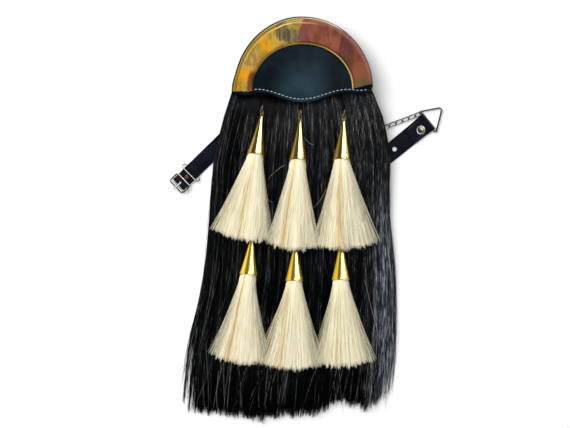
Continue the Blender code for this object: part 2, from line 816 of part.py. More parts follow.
def ring_path(middle, outward):
    """A bent triangle of wire, its base across the strap's fold and its apex outward."""
    side = Vector((-outward.y, outward.x, 0))
    corners = (
        middle + side * RING_BASE / 2,
        middle - side * RING_BASE / 2,
        middle + outward * RING_HEIGHT + side * RING_SKEW,
    )
    path = []
    bends = []
    for k in range(3):
        here = corners[k]
        bend = RING_APEX_BEND if k == 2 else RING_BASE_BEND
        before = (corners[k - 1] - here).normalized()
        after = (corners[(k + 1) % 3] - here).normalized()
        half_angle = before.angle(after) / 2
        cut = bend / math.tan(half_angle)
        inward = (before + after).normalized()
        centre = here + inward * bend / math.sin(half_angle)
        across = ((here + after * cut) - (here + before * cut)).normalized()
        for step in range(4):
            turn = (math.pi / 2 - half_angle) * (step / 1.5 - 1)
            path.append(centre + bend * (across * math.sin(turn) - inward * math.cos(turn)))
        bends.append((centre - inward * bend, here, inward, half_angle))
    return path, bends


def build_left_strap():
    """Left strap end: folded at the pouch, with its keeper and stud, and the small buckle."""
    along = plan_direction(LEFT_STRAP_ANGLE)
    side = Vector((-along.y, along.x, 0))
    fold = Vector((-POUCH_WIDTH / 2 - SIDE_BAR_OUT, SIDE_BAR_Y, FOLD_RADIUS))
    half = STRAP_WIDTH / 2
    double = 2 * STRAP_LEATHER
    bar = LEFT_STRAP_LENGTH
    keeper = bar - KEEPER_FROM_BAR
    lift = KEEPER_LIFT
    bar_z = lift + double + GAP + BUCKLE_WIRE
    stations = fold_stations(FOLD_RADIUS, half, 1)
    stations += [
        (FOLD_RADIUS, 0.0, double, half),
        (FOLD_LENGTH, 0.0, double, half),
        (FOLD_LENGTH + FOLD_STEP, 0.0, STRAP_LEATHER, half),
    ]
    for before, share, layers in STRAP_LIFTS:
        low = share * lift
        stations.append((keeper - before * KEEPER_FROM_BAR, low, low + layers * STRAP_LEATHER, half))
    stations.append((bar - FOLD_RADIUS, lift, lift + double, half * STRAP_AT_BAR))
    for distance, low, high, wide in fold_stations(bar_z, half * STRAP_AT_BAR, -1):
        stations.append((bar + distance, lift if distance < BUCKLE_WIRE else low, high, wide))
    body = strap_mesh(fold, along, stations)
    body = combined(body, pin(fold, side, RING_WIRE + GAP, STRAP_WIDTH * 2, 12), "DIFFERENCE")
    centre = Vector((fold.x, fold.y, 0)) + along * bar
    centre.z = bar_z
    body = combined(body, pin(centre, side, BUCKLE_WIRE + GAP, STRAP_WIDTH * 2, 12), "DIFFERENCE")
    slot_low = bar_z - BUCKLE_WIRE - GAP - 2 * PRONG_WIRE - 2 * GAP
    slot_half = PRONG_WIRE + 2 * GAP
    slot = strap_mesh(
        centre,
        along,
        (
            (-SLOT_BACK, slot_low, bar_z * 2, slot_half),
            (SLOT_AHEAD, slot_low, bar_z * 2, slot_half),
        ),
    )
    leather("strap_left", combined(body, slot, "DIFFERENCE"), smooth=False)
    build_side_bar(fold, side)
    build_buckle(centre, along, side)
    build_keeper(Vector((fold.x, fold.y, 0)) + along * keeper, along, side)
    stud = Vector((fold.x, fold.y, 0)) + along * (bar - STUD_FROM_BAR)
    stud.z = lift + double + GAP
    profile = ((0, 0), (0, STUD_RADIUS), (STUD_HEIGHT / 2, STUD_CROWN), (STUD_HEIGHT, 0))
    copper = turned(profile, 12, Matrix.Translation(stud))
    finish("keeper_stud", copper, COPPER, 0.3, 1.0)


def build_buckle(centre, along, side):
    """Small buckle: wire frame with a middle bar and a thick far bar, soldered, and its prong."""
    half = BUCKLE_WIDTH / 2 - BUCKLE_WIRE
    reach = BUCKLE_LENGTH / 2 - BUCKLE_WIRE
    bend = BUCKLE_BEND
    path = []
    for a, w, start in ((1, 1, 0), (-1, 1, 90), (-1, -1, 180), (1, -1, 270)):
        for step in range(3):
            turn = math.radians(start + 45 * step)
            offset_a = a * (reach - bend) + bend * math.cos(turn)
            offset_w = w * (half - bend) + bend * math.sin(turn)
            path.append(centre + along * offset_a + side * offset_w)
    frame = tube(path, BUCKLE_WIRE, 6, wrap=True)
    middle = pin(centre, side, BAR_RADIUS, 2 * half, 8)
    roller = pin(centre + along * reach, side, ROLLER_RADIUS, 2 * (half - bend), 10)
    steel("buckle_frame", combined(frame, joined([middle, roller]), "UNION"))
    ring_radius = BUCKLE_WIRE + GAP + PRONG_WIRE
    ring = []
    for k in range(10):
        turn = 2 * math.pi * (k + 0.5) / 10
        ring.append(centre + ring_radius * (math.cos(turn) * along + math.sin(turn) * Vector((0, 0, 1))))
    top = Vector((0, 0, ring_radius))
    over = Vector((0, 0, ROLLER_RADIUS + GAP + PRONG_WIRE))
    pin_path = (
        centre + top,
        centre + along * reach + over,
        centre + along * (reach + PRONG_OVERHANG) + over * PRONG_DROP,
    )
    needle = tube(pin_path, PRONG_WIRE, 6)
    steel("buckle_prong", combined(tube(ring, PRONG_WIRE, 6, wrap=True), needle, "UNION"))


def build_keeper(place, along, side):
    """Wire loop round the strap: its upper run nearer the buckle than its lower one."""
    straight = STRAP_WIDTH / 2 + GAP
    low = KEEPER_WIRE
    high = KEEPER_LIFT + 2 * STRAP_LEATHER + GAP + KEEPER_WIRE
    path = []
    for hand in (1, -1):
        for step in range(5):
            turn = math.pi * step / 4 - math.pi / 2
            out = straight + KEEPER_EAR * math.cos(turn)
            rise = (low + high) / 2 + hand * (high - low) / 2 * math.sin(turn)
            slant = hand * KEEPER_SLANT * math.sin(turn)
            path.append(place + along * slant + side * hand * out + Vector((0, 0, rise)))
    steel("keeper", tube(path, KEEPER_WIRE, 6, wrap=True))


def loop_place(y, hand):
    """Centre of the wire loop on the pouch's side wall at one height."""
    half = between(POUCH_SECTIONS, 1, (POUCH_MOUTH - y) / POUCH_LENGTH) * POUCH_WIDTH / 2
    return Vector((hand * (half + GAP + LOOP_PLATE + LOOP_RADIUS), y, FOLD_RADIUS))


def side_plate(x, y, length):
    """Small plate flat against the pouch's side wall."""
    bm = bmesh.new()
    bmesh.ops.create_cube(bm, size=1.0)
    bmesh.ops.scale(bm, vec=(LOOP_PLATE, length, LOOP_PLATE_SIZE), verts=bm.verts)
    bmesh.ops.translate(bm, vec=(x, y, GAP + LOOP_PLATE_SIZE / 2), verts=bm.verts)
    return mesh_from(bm)


def build_side_bar(middle, side):
    """Flat wire loop soldered to a plate on the pouch's left side; its bar lies in the strap's fold."""
    wall = -POUCH_WIDTH / 2 - GAP - LOOP_PLATE
    level = middle.y + SIDE_BAR_RISE
    near = middle + side * SIDE_BAR_LENGTH / 2
    far = middle - side * SIDE_BAR_LENGTH / 2
    feet = [Vector((wall, level + turn * SIDE_BAR_FEET / 2, middle.z)) for turn in (-1, 1)]
    path = [
        feet[0],
        near + (feet[0] - near).normalized() * SIDE_BAR_BEND,
        near - side * SIDE_BAR_BEND,
        far + side * SIDE_BAR_BEND,
        far + (feet[1] - far).normalized() * SIDE_BAR_BEND,
        feet[1],
    ]
    plate = side_plate(wall + LOOP_PLATE / 2, level, SIDE_BAR_PLATE)
    steel("side_bar_left", combined(plate, tube(path, RING_WIRE, 8), "UNION"))


def build_side_loop(name, place, hand):
    """Wire loop soldered to a small plate on the pouch's side wall."""
    foot = place.x - hand * (LOOP_RADIUS + LOOP_PLATE / 2)
    plate = side_plate(foot, place.y, LOOP_PLATE_SIZE)
    path = [Vector((foot, place.y, place.z - LOOP_RADIUS))]
    for step in range(5):
        turn = math.pi * step / 4 - math.pi / 2
        out = place.x + hand * LOOP_RADIUS * math.cos(turn)
        path.append(Vector((out, place.y, place.z + LOOP_RADIUS * math.sin(turn))))
    path.append(Vector((foot, place.y, place.z + LOOP_RADIUS)))
    steel(name, combined(plate, tube(path, LOOP_WIRE, 6), "UNION"))


def build_right_strap():
    """Right strap end: folded round its ring and riveted, with a punched hole and a round tail."""
    along = plan_direction(RIGHT_STRAP_ANGLE)
    side = Vector((-along.y, along.x, 0))
    fold = Vector((RIGHT_FOLD_X, RIGHT_FOLD_Y, FOLD_RADIUS))
    half = STRAP_WIDTH / 2
    wide = half + FOLD_EXTRA / 2
    double = 2 * STRAP_LEATHER
    tail = RIGHT_STRAP_LENGTH - half
    stations = fold_stations(FOLD_RADIUS, wide, 1)
    stations += [
        (FOLD_RADIUS, 0.0, double, wide),
        (FOLD_LENGTH, 0.0, double, half + FOLD_EXTRA / 4),
        (FOLD_LENGTH + FOLD_STEP, 0.0, STRAP_LEATHER, half),
        (tail, 0.0, STRAP_LEATHER, half),
    ]
    for degrees in (25, 50, 75):
        turn = math.radians(degrees)
        stations.append((tail + half * math.sin(turn), 0.0, STRAP_LEATHER, half * math.cos(turn)))
    body = strap_mesh(fold, along, stations)
    body = combined(body, pin(fold, side, RING_WIRE + GAP, STRAP_WIDTH * 2, 12), "DIFFERENCE")
    flat = Vector((fold.x, fold.y, 0))
    hole = flat + along * HOLE_FROM_FOLD
    shank = flat + along * RIVET_FROM_FOLD + side * RIVET_ASIDE
    drill = joined([
        pin(hole, (0, 0, 1), STRAP_HOLE, STRAP_WIDTH, 14),
        pin(shank, (0, 0, 1), RIVET_SHANK + GAP, STRAP_WIDTH, 10),
    ])
    leather("strap_right", combined(body, drill, "DIFFERENCE"), smooth=False)
    shank.z = double + GAP
    profile = (
        (-double, 0),
        (-double, RIVET_SHANK),
        (0, RIVET_SHANK),
        *((RIVET_HEIGHT * up, RIVET_RADIUS * out) for up, out in RIVET_HEAD),
        (RIVET_HEIGHT, 0),
    )
    steel("strap_rivet", turned(profile, 16, Matrix.Translation(shank)))
    path, bends = ring_path(fold, -along)
    steel("triangle_ring", tube(path, RING_WIRE, 6, wrap=True))
    return bends[0]


def build_strap_chain(bend):
    """Steel chain from the ring's near corner to the loop on the pouch's right side."""
    _, corner, inward, half_angle = bend
    clear = RING_WIRE + GAP + STRAP_LINK_WIRE
    hook = corner + inward * clear / math.sin(half_angle)
    loop = loop_place(RIGHT_LOOP_Y, 1)
    build_side_loop("side_loop_right", loop, 1)
    held = loop + Vector((LOOP_RADIUS, 0, 0))
    along = (held - hook).normalized()
    inset = (1 - LINK_OVERLAP) * STRAP_LINK_WIRE
    start = hook + along * inset
    end = held + along * (LOOP_WIRE + GAP + STRAP_LINK_WIRE - inset)
    count = 2 * round((start - end).length / STRAP_LINK_PITCH / 2)
    steel("strap_chain", linked(start, end, count, STRAP_LINK_WIDTH, STRAP_LINK_WIRE, 0))


def build():
    for old in list(bpy.data.objects):
        bpy.data.objects.remove(old)
    build_pouch()
    build_hair()
    build_panel()
    build_cantle()
    lower_tips = [tassel_places(row)[0].x for row in TASSELS if row[1] == 1]
    for k, row in enumerate(TASSELS):
        name, line = row[0], row[1]
        tip, base, end, spread = tassel_places(row)
        axis = (base - tip).normalized()
        build_cone("cone_" + name, tip, base)
        build_brush("brush_" + name, tip, base, end, spread, lower_tips[k] if line == 0 else None)
        if line == 0:
            build_tassel_chain("tassel_chain_" + name.split("_")[1], tip, axis)
        else:
            build_lower_hanger("lower_hanger_" + name.split("_")[1], tip, axis)
    build_left_strap()
    build_strap_chain(build_right_strap())


build()
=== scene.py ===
import math

import bmesh
import bpy
import numpy as np
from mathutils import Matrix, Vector


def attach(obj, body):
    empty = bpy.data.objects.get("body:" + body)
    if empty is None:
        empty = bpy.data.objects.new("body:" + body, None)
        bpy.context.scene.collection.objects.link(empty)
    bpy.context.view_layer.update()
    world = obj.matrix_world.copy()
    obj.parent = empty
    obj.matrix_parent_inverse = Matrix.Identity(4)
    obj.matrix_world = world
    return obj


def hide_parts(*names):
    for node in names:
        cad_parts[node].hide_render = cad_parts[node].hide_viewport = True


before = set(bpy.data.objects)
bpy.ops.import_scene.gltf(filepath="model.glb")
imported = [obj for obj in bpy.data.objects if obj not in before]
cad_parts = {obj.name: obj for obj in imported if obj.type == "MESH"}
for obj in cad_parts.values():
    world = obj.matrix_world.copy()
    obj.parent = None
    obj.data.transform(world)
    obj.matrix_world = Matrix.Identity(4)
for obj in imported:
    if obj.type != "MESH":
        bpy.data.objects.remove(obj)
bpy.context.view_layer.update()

# Studio: a plain pale floor that the sporran lies on, and a camera that looks straight down on it. A lamp
# at the upper left casts the soft shadow, a wide one fills it, and a white screen shows in the brass.
FLOOR_SIZE = 9.0
FLOOR_DROP = 0.0003
CAMERA_PLACE = (-0.0199, -0.1474, 2.50)
CAMERA_PLANE = 0.030
PHOTO_WIDTH = 0.6669
SENSOR = 36.0
SKY = (0.97, 0.98, 1.00)
SKY_STRENGTH = 0.13
FLOOR_TONES = ((0.93, 0.93, 0.93), (0.955, 0.955, 0.955))
OBJECT_PLACE = 3  # the coordinates' output that stays with the piece


class Socket:
    """An output of a finish's nodes, so that sums of them read as plain arithmetic."""

    def __init__(self, tree, output=None):
        self.tree = tree
        self.output = output

    def join(self, value, target):
        if isinstance(value, Socket):
            self.tree.links.new(value.output, target)
        elif isinstance(value, tuple) and target.type == "RGBA":
            target.default_value = (*value, 1.0)
        else:
            target.default_value = value

    def node(self, kind, values=None, out=0, stops=None, **settings):
        """Add any node: its settings first, then the values or links of its sockets."""
        made = self.tree.nodes.new("ShaderNode" + kind)
        for name, value in settings.items():
            setattr(made, name, value)
        if stops:
            ramp = made.color_ramp
            ramp.elements[0].position, ramp.elements[-1].position = stops[0][0], stops[-1][0]
            for place, _ in stops[1:-1]:
                ramp.elements.new(place)
            for element, (_, colour) in zip(ramp.elements, stops):
                element.color = (*colour, 1.0)
        for name, value in (values or {}).items():
            self.join(value, made.inputs[name])
        return Socket(self.tree, made.outputs[out])

    def maths(self, operation, other):
        return self.node("Math", {0: self, 1: other}, operation=operation)

    def __add__(self, other):
        return self.maths("ADD", other)

    def __sub__(self, other):
        return self.maths("SUBTRACT", other)

    def __rsub__(self, other):
        return self.node("Math", {0: other, 1: self}, operation="SUBTRACT")

    def __mul__(self, other):
        return self.maths("MULTIPLY", other)

    __radd__ = __add__
    __rmul__ = __mul__

    def rise(self, low, high):
        """Nought below one value and one above the other, smooth between; falls if low is the higher."""
        if low > high:
            return 1 - self.rise(high, low)
        return self.node("MapRange", {0: self, 1: low, 2: high}, interpolation_type="SMOOTHSTEP")

    def tint(self, low, high):
        """A colour from one to the other by this value."""
        return self.node("Mix", {0: self, 6: low, 7: high}, out=2, data_type="RGBA")

    def noise(self, place, scale, detail=3.0, rough=0.5, warp=0.0):
        values = {"Vector": place, "Scale": scale, "Detail": detail, "Roughness": rough, "Distortion": warp}
        return self.node("TexNoise", values)

    def stretched(self, place, scale):
        return self.node("Mapping", {"Vector": place, "Scale": scale})

    def ramp(self, value, stops):
        return self.node("ValToRGB", {0: value}, stops=stops)

    def distance(self, place, spot):
        return self.node("VectorMath", {0: place, 1: spot}, out=1, operation="DISTANCE")

    def tone(self):
        """The number that each point of the mesh carries."""
        return self.node("Attribute", out=2, attribute_name="tone")

    def bump(self, height, distance, strength=1.0):
        return self.node("Bump", {"Height": height, "Distance": distance, "Strength": strength})


def new_finish(name, fixed):
    """A material, a hand for its nodes, its shader's sockets with the fixed values set, and the place."""
    material = bpy.data.materials.new(name)
    material.use_nodes = True
    shader = material.node_tree.nodes["Principled BSDF"]
    for label, value in fixed.items():
        shader.inputs[label].default_value = value
    ink = Socket(material.node_tree)
    return material, ink, shader.inputs, ink.node("TexCoord", out=OBJECT_PLACE)


floor_finish, ink, shader, place = new_finish("pale_floor", {"Roughness": 0.85, "Specular IOR Level": 0.15})
ink.join(ink.noise(place, 3.0).tint(*FLOOR_TONES), shader["Base Color"])
half = FLOOR_SIZE / 2
floor_mesh = bpy.data.meshes.new("floor")
floor_mesh.from_pydata(
    [(x, y, -FLOOR_DROP) for x, y in ((-half, -half), (half, -half), (half, half), (-half, half))],
    [],
    [(0, 1, 2, 3)],
)
floor_mesh.materials.append(floor_finish)
floor = bpy.data.objects.new("floor", floor_mesh)
bpy.context.scene.collection.objects.link(floor)

lens = bpy.data.cameras.new("camera")
lens.sensor_width = SENSOR
lens.lens = SENSOR * (CAMERA_PLACE[2] - CAMERA_PLANE) / PHOTO_WIDTH
camera = bpy.data.objects.new("camera", lens)
camera.location = CAMERA_PLACE
bpy.context.scene.collection.objects.link(camera)
bpy.context.scene.camera = camera

LAMPS = (
    # name, place, aimed at, width, height, power, lights matt things, shows in shiny ones
    ("lamp_left", (-1.45, 0.95, 1.60), (0.0, -0.15, 0.0), 1.80, 1.80, 33.0, True, False),
    ("lamp_above", (-0.45, 0.25, 2.70), (0.0, -0.15, 0.0), 2.80, 2.80, 80.0, True, False),
    ("screen_right", (0.80, 0.86, 0.88), (0.0, -0.10, 0.03), 1.90, 1.20, 32.0, False, True),
)
for name, place, aim, width, height, power, matt, shiny in LAMPS:
    lamp = bpy.data.lights.new(name, "AREA")
    lamp.shape = "RECTANGLE"
    lamp.size, lamp.size_y, lamp.energy = width, height, power
    holder = bpy.data.objects.new(name, lamp)
    holder.location = place
    holder.rotation_euler = (Vector(aim) - Vector(place)).to_track_quat("-Z", "Y").to_euler()
    holder.visible_camera, holder.visible_diffuse, holder.visible_glossy = False, matt, shiny
    bpy.context.scene.collection.objects.link(holder)

world = bpy.data.worlds.new("studio")
world.use_nodes = True
sky = world.node_tree.nodes["Background"].inputs
sky["Color"].default_value = (*SKY, 1.0)
sky["Strength"].default_value = SKY_STRENGTH
bpy.context.scene.world = world
bpy.context.scene.view_settings.view_transform = "Standard"


# Pouch: the bag itself, black leather about two millimetres thick, with its mouth at the top. The
# front wall is gathered to the back one by a sewn seam that runs down the sides and round the end.
POUCH_WIDTH = 0.124
POUCH_DEPTH = 0.024
POUCH_LENGTH = 0.185
POUCH_MOUTH = 0.050
POUCH_WALL = 0.002
POUCH_BACK_EDGE = 0.003
POUCH_FRONT_EDGE = 0.009
POUCH_SECTIONS = np.array((
    # down, width, depth
    (0.00, 0.930, 1.00),
    (0.20, 0.980, 1.00),
    (0.45, 1.000, 1.00),
    (0.68, 0.980, 1.00),
    (0.82, 0.900, 0.98),
    (0.92, 0.740, 0.86),
    (0.98, 0.530, 0.62),
    (1.00, 0.380, 0.38),
))
SEAM_UP = 0.0052
THREAD_PITCH = 0.0032
THREAD_LENGTH = 0.0023
THREAD_RADIUS = 0.00036
STITCH_SECTIONS = (
    # along, thick, up
    (-1.00, 0.45, -1.20),
    (-0.75, 0.90, -0.10),
    (0.00, 1.00, 0.25),
    (0.75, 0.90, -0.10),
    (1.00, 0.45, -1.20),
)


def mesh_of(name, parts):
    """A mesh from (points, faces) parts, its faces turned outwards."""
    points, faces, first = [], [], 0
    for part_points, part_faces in parts:
        points.append(part_points)
        faces += [[first + corner for corner in face] for face in part_faces]
        first += len(part_points)
    mesh = bpy.data.meshes.new(name)
    mesh.from_pydata(np.concatenate(points).tolist(), [], faces)
    bm = bmesh.new()
    bm.from_mesh(mesh)
    bmesh.ops.recalc_face_normals(bm, faces=bm.faces)
    bm.to_mesh(mesh)
    bm.free()
    return mesh


def fit(name, mesh, material, tone, nodes):
    """Finish a mesh as a piece of the sporran, in place of the frame's nodes."""
    if tone is not None:
        mesh.attributes.new("tone", "FLOAT", "POINT").data.foreach_set("value", tone)
    mesh.materials.append(material)
    piece = bpy.data.objects.new(name, mesh)
    bpy.context.scene.collection.objects.link(piece)
    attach(piece, "root")
    if nodes:
        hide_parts(*nodes)
    return piece


def add_piece(name, parts, material, slot, *nodes, sharp=40, tone=None):
    """One smooth piece, with a crease where its faces meet at more than the sharp angle."""
    mesh = mesh_of(name, parts)
    mesh.shade_smooth()
    mesh.set_sharp_from_angle(angle=math.radians(sharp))
    return fit(name, mesh, material, tone, nodes)


def loft(rings, wrap=False):
    """Faces through rings of equally many points; the ends are closed unless the rings meet."""
    rings = np.asarray(rings, float)
    rows, around = rings.shape[:2]
    k = np.arange(around)
    after = (k + 1) % around
    low = np.arange(rows if wrap else rows - 1)[:, None]
    high = (low + 1) % rows
    low, high = low * around, high * around
    faces = np.stack([low + k, low + after, high + after, high + k], -1).reshape(-1, 4).tolist()
    if not wrap:
        faces.append(list(range(around)))
        faces.append(list(range((rows - 1) * around, rows * around)))
    return rings.reshape(-1, 3), faces


def unit(vectors):
    return vectors / np.maximum(np.linalg.norm(vectors, axis=-1, keepdims=True), 1e-12)


def full_turn(sides):
    """Evenly spaced angles round a circle, in a column."""
    return 2 * math.pi * np.arange(sides)[:, None] / sides


def threads(path, pitch, length, radius, lift=0.0, sides=6):
    """Sewing thread along a path: a short raised stitch each pitch, its ends sunk in the leather."""
    path = np.asarray(path, float)
    steps = np.linalg.norm(np.diff(path, axis=0), axis=1)
    run = np.concatenate([[0.0], np.cumsum(steps)])
    turn = full_turn(sides)
    parts = []
    for k in range(int(run[-1] / pitch)):
        rings = []
        for share, thick, up in STITCH_SECTIONS:
            at = (k + 0.5) * pitch + share * length / 2
            spot = np.array([np.interp(at, run, path[:, axis]) for axis in range(3)])
            beyond = np.array([np.interp(at + pitch * 0.1, run, path[:, axis]) for axis in range(3)])
            along = unit(beyond - spot)
            side = unit(np.cross(along, (0, 0, 1.0)))
            rise = np.cross(side, along)
            ring = spot + thick * radius * (np.cos(turn) * side + np.sin(turn) * rise)
            rings.append(ring + np.array((0, 0, lift + up * radius)))
        parts.append(loft(rings))
    return parts


def leather_finish(name, base, dust_and_sheen, roughness, grain_scale, dust_and_sheen_spot=None, shine=0.12):
    """Dyed leather: fine pebbled grain, creases, a dull bloom where it has been rubbed, and round a given spot
    a lighter patch that is partly dust and partly painted sheen.
    """
    material, ink, shader, place = new_finish(name, {"Specular IOR Level": shine})
    cells = ink.node("TexVoronoi", {"Vector": place, "Scale": grain_scale}, feature="DISTANCE_TO_EDGE")
    pebble = cells.rise(0.0, 0.25)
    creases = ink.noise(place, grain_scale * 0.09, 5.0, 0.6, 1.2)
    cloud = ink.noise(place, 34.0, 4.0, 0.55, 0.6)
    bloom_and_sheen = cloud.rise(0.44, 0.72) * 0.5
    if dust_and_sheen_spot:
        # Painted sheen: round the given spot the leather is painted lighter, partly for dust and partly for its
        # sheen.
        near = ink.distance(place, dust_and_sheen_spot).rise(0.042, 0.004)
        bloom_and_sheen = (near * (0.45 + cloud * 1.1) + bloom_and_sheen * 0.45).maths("MINIMUM", 1.0)
    ink.join(bloom_and_sheen.tint(base, dust_and_sheen), shader["Base Color"])
    ink.join(roughness + 0.16 * cloud - 0.05 * pebble, shader["Roughness"])
    ink.join(ink.bump(pebble * 0.35 + creases, 0.00025, 0.55), shader["Normal"])
    return material


def thread_finish(name, light, dark):
    """Twisted linen thread: fine slanting ply lines."""
    material, ink, shader, place = new_finish(name, {"Roughness": 0.7})
    ply = ink.node("TexWave", {"Vector": place, "Scale": 900.0, "Distortion": 1.0}, bands_direction="DIAGONAL")
    ink.join(ply.tint(dark, light), shader["Base Color"])
    ink.join(ink.bump(ply, 0.00008), shader["Normal"])
    return material


def pouch_ring(down, inset, rows=9):
    """One section of the bag, inset by its wall: small back corners and round front ones."""
    wide, deep = (np.interp(down, POUCH_SECTIONS[:, 0], POUCH_SECTIONS[:, column]) for column in (1, 2))
    half = wide * POUCH_WIDTH / 2 - inset
    low, high = inset, deep * POUCH_DEPTH - inset
    front = min(POUCH_FRONT_EDGE - inset, (high - low) / 2)
    back = POUCH_BACK_EDGE - inset / 2
    y = POUCH_MOUTH - down * POUCH_LENGTH
    if inset:
        y = max(y, POUCH_MOUTH - POUCH_LENGTH + inset)
    ring = []
    corners = (
        (half - back, low + back, back, -90),
        (half - front, high - front, front, 0),
        (-half + front, high - front, front, 90),
        (-half + back, low + back, back, 180),
    )
    for x, z, radius, start in corners:
        for k in range(rows):
            turn = math.radians(start + 90 * k / (rows - 1))
            ring.append((x + radius * math.cos(turn), y, z + radius * math.sin(turn)))
    return ring


downs = np.concatenate([np.linspace(0, 0.8, 30), np.linspace(0.82, 1.0, 24)])
outer = [pouch_ring(down, 0.0) for down in downs]
inner = [pouch_ring(down, POUCH_WALL) for down in downs]
black_leather = leather_finish("black_leather", (0.008, 0.010, 0.014), (0.030, 0.036, 0.046), 0.42, 1500.0)
add_piece("pouch_bag", [loft(outer[::-1] + inner)], black_leather, "leather_black", "pouch")

seams = []
for hand in (1, -1):
    path = []
    for down in np.linspace(0.02, 0.90, 40):
        half = np.interp(down, POUCH_SECTIONS[:, 0], POUCH_SECTIONS[:, 1]) * POUCH_WIDTH / 2
        path.append((hand * (half + THREAD_RADIUS * 0.3), POUCH_MOUTH - down * POUCH_LENGTH, SEAM_UP))
    seams += threads(path, THREAD_PITCH, THREAD_LENGTH, THREAD_RADIUS)
dark_thread = thread_finish("dark_thread", (0.10, 0.11, 0.13), (0.03, 0.035, 0.045))
add_piece("pouch_seams", seams, dark_thread, "leather_black")


# Black horsehair: a thick fall of straight hair sewn flat between the pouch and the panel. A dark
# body of hair carries the fine strands, which gather into locks towards their ragged ends.
HEM_Y = -0.0063
HAIR_LENGTH = 0.3815
HAIR_REACH = 0.142
POUCH_TOP = 0.0243
HAIR_FULL = 0.0308
HEAD_TOP = 0.0287
CREST_POWER = 3.2
HAIR_SECTIONS = np.array((
    # down, left, right, crest, edge, under, under_edge
    (-0.007, 0.574, 0.577, 0.864, 0.864, 1.00, 1.00),
    (0.043, 0.629, 0.656, 0.877, 0.780, 1.00, 0.82),
    (0.116, 0.683, 0.712, 0.990, 0.617, 1.00, 0.50),
    (0.211, 0.750, 0.748, 1.000, 0.438, 1.00, 0.33),
    (0.313, 0.757, 0.734, 0.974, 0.373, 1.00, 0.27),
    (0.379, 0.775, 0.736, 0.893, 0.325, 0.74, 0.12),
    (0.470, 0.789, 0.768, 0.763, 0.292, 0.20, 0.00),
    (0.604, 0.835, 0.784, 0.584, 0.276, 0.00, 0.00),
    (0.780, 0.949, 0.773, 0.455, 0.227, 0.00, 0.00),
    (1.000, 1.000, 0.705, 0.195, 0.110, 0.00, 0.00),
))
HAIR_ENDS = np.array((
    # across, length
    (0.000, 0.958),
    (0.030, 0.984),
    (0.150, 0.990),
    (0.370, 1.000),
    (0.550, 0.995),
    (0.670, 0.983),
    (0.730, 0.957),
    (0.780, 0.953),
    (0.860, 0.971),
    (0.930, 0.964),
    (0.955, 0.937),
    (1.000, 0.932),
))
HEAD_ROWS = (
    # y, half-width
    (0.0401, 0.0560),
    (0.0230, 0.0690),
    (0.0060, 0.0789),
)
EDGE_ROLL = 0.009
BODY_DEPTH = 0.0016
BODY_ACROSS = 220
BODY_DOWN = 72
STRANDS = 8400
STRAND_POINTS = 9
STRAND_RADIUS = 0.00034
LOCKS = 84
STRAYS = 330
STRAY_RADIUS = 0.00016
FRINGE = 58
FRINGE_RADIUS = 0.00048
CROSSING = 56
CROSSING_RADIUS = 0.00021
TUFTS = 4 * LOCKS
SHARE_BEND = 1.2  # the points of a strand lie closer near the panel
HAIR_GLINTS = np.array((
    # across, share of hairs painted pale as glints above, share below
    (0.00, 0.10, 0.40),
    (0.05, 0.06, 0.30),
    (0.12, 0.04, 0.08),
    (0.26, 0.05, 0.04),
    (0.38, 0.38, 0.03),
    (0.70, 0.42, 0.04),
    (0.86, 0.52, 0.14),
    (0.92, 0.56, 0.72),
    (1.00, 0.58, 0.80),
))


def smooth_table(table, column, value):
    """Read a table's column by its first one, with its corners eased."""
    return sum(
        share * np.interp(value + shift, table[:, 0], table[:, column])
        for share, shift in ((0.25, -0.03), (0.5, 0.0), (0.25, 0.03))
    )


def hair_spot(across, down, level):
    """A place in the black hair: share across, share of its length, and share of its depth."""
    left, right, crest, edge, under, under_edge = (
        smooth_table(HAIR_SECTIONS, column, down) for column in range(1, 7)
    )
    x = HAIR_REACH * (-left + (left + right) * across)
    reach = HAIR_REACH * np.where(x < 0, left, right)
    out = np.clip(np.abs(x) / reach, 0, 1)
    top = HAIR_FULL * (crest + (edge - crest) * out ** CREST_POWER)
    beyond = np.clip((np.abs(x) - POUCH_WIDTH / 2) / np.maximum(reach - POUCH_WIDTH / 2, 1e-6), 0, 1)
    low = POUCH_TOP * (under + (under_edge - under) * beyond)
    inside = np.clip((reach - np.abs(x)) / EDGE_ROLL, 0, 1)
    roll = 0.2 + 0.8 * np.sqrt(1 - (1 - inside) ** 2)
    top = low + (top - low) * roll
    return np.stack([x, HEM_Y - down * HAIR_LENGTH, low + (top - low) * level], -1)


def hair_top(x, y):
    """Height of the black hair's face under what lies on it."""
    down = (HEM_Y - y) / HAIR_LENGTH
    left, right, crest, edge = (np.interp(down, HAIR_SECTIONS[:, 0], HAIR_SECTIONS[:, c]) for c in (1, 2, 3, 4))
    reach = HAIR_REACH * np.where(x < 0, left, right)
    out = np.clip(np.abs(x) / reach, 0, 1)
    return HAIR_FULL * (crest + (edge - crest) * out ** CREST_POWER)


def strands(paths, radius, tips=0.30, flat=0.7):
    """Fine three-sided strands that taper to their tips, along many paths at once."""
    count, rows = paths.shape[:2]
    ahead = np.concatenate([paths[:, 1:], paths[:, -1:]], 1)
    behind = np.concatenate([paths[:, :1], paths[:, :-1]], 1)
    along = unit(ahead - behind)
    side = unit(np.cross(along, (0, 0, 1.0)))
    rise = np.cross(side, along)
    taper = np.interp(np.linspace(0, 1, rows), (0.0, 0.12, 0.88, 1.0), (0.75, 1.0, 0.95, tips))
    thick = (radius[:, None] * taper)[..., None, None]
    turn = (np.array((90.0, 210.0, 330.0)) * math.pi / 180)[:, None]
    ring = np.cos(turn) * side[:, :, None] + flat * np.sin(turn) * rise[:, :, None]
    points = (paths[:, :, None] + thick * ring).reshape(-1, 3)
    first = (np.arange(count) * rows * 3)[:, None, None]
    row = (np.arange(rows - 1) * 3)[None, :, None]
    k = np.arange(3)[None, None]
    after = (k + 1) % 3
    low = first + row
    quads = np.stack([low + k, low + after, low + after + 3, low + k + 3], -1).reshape(-1, 4)
    ends = (np.arange(count) * rows * 3)[:, None]
    caps = np.concatenate([ends + (2, 1, 0), ends + (rows - 1) * 3 + (0, 1, 2)])
    return points, quads, caps


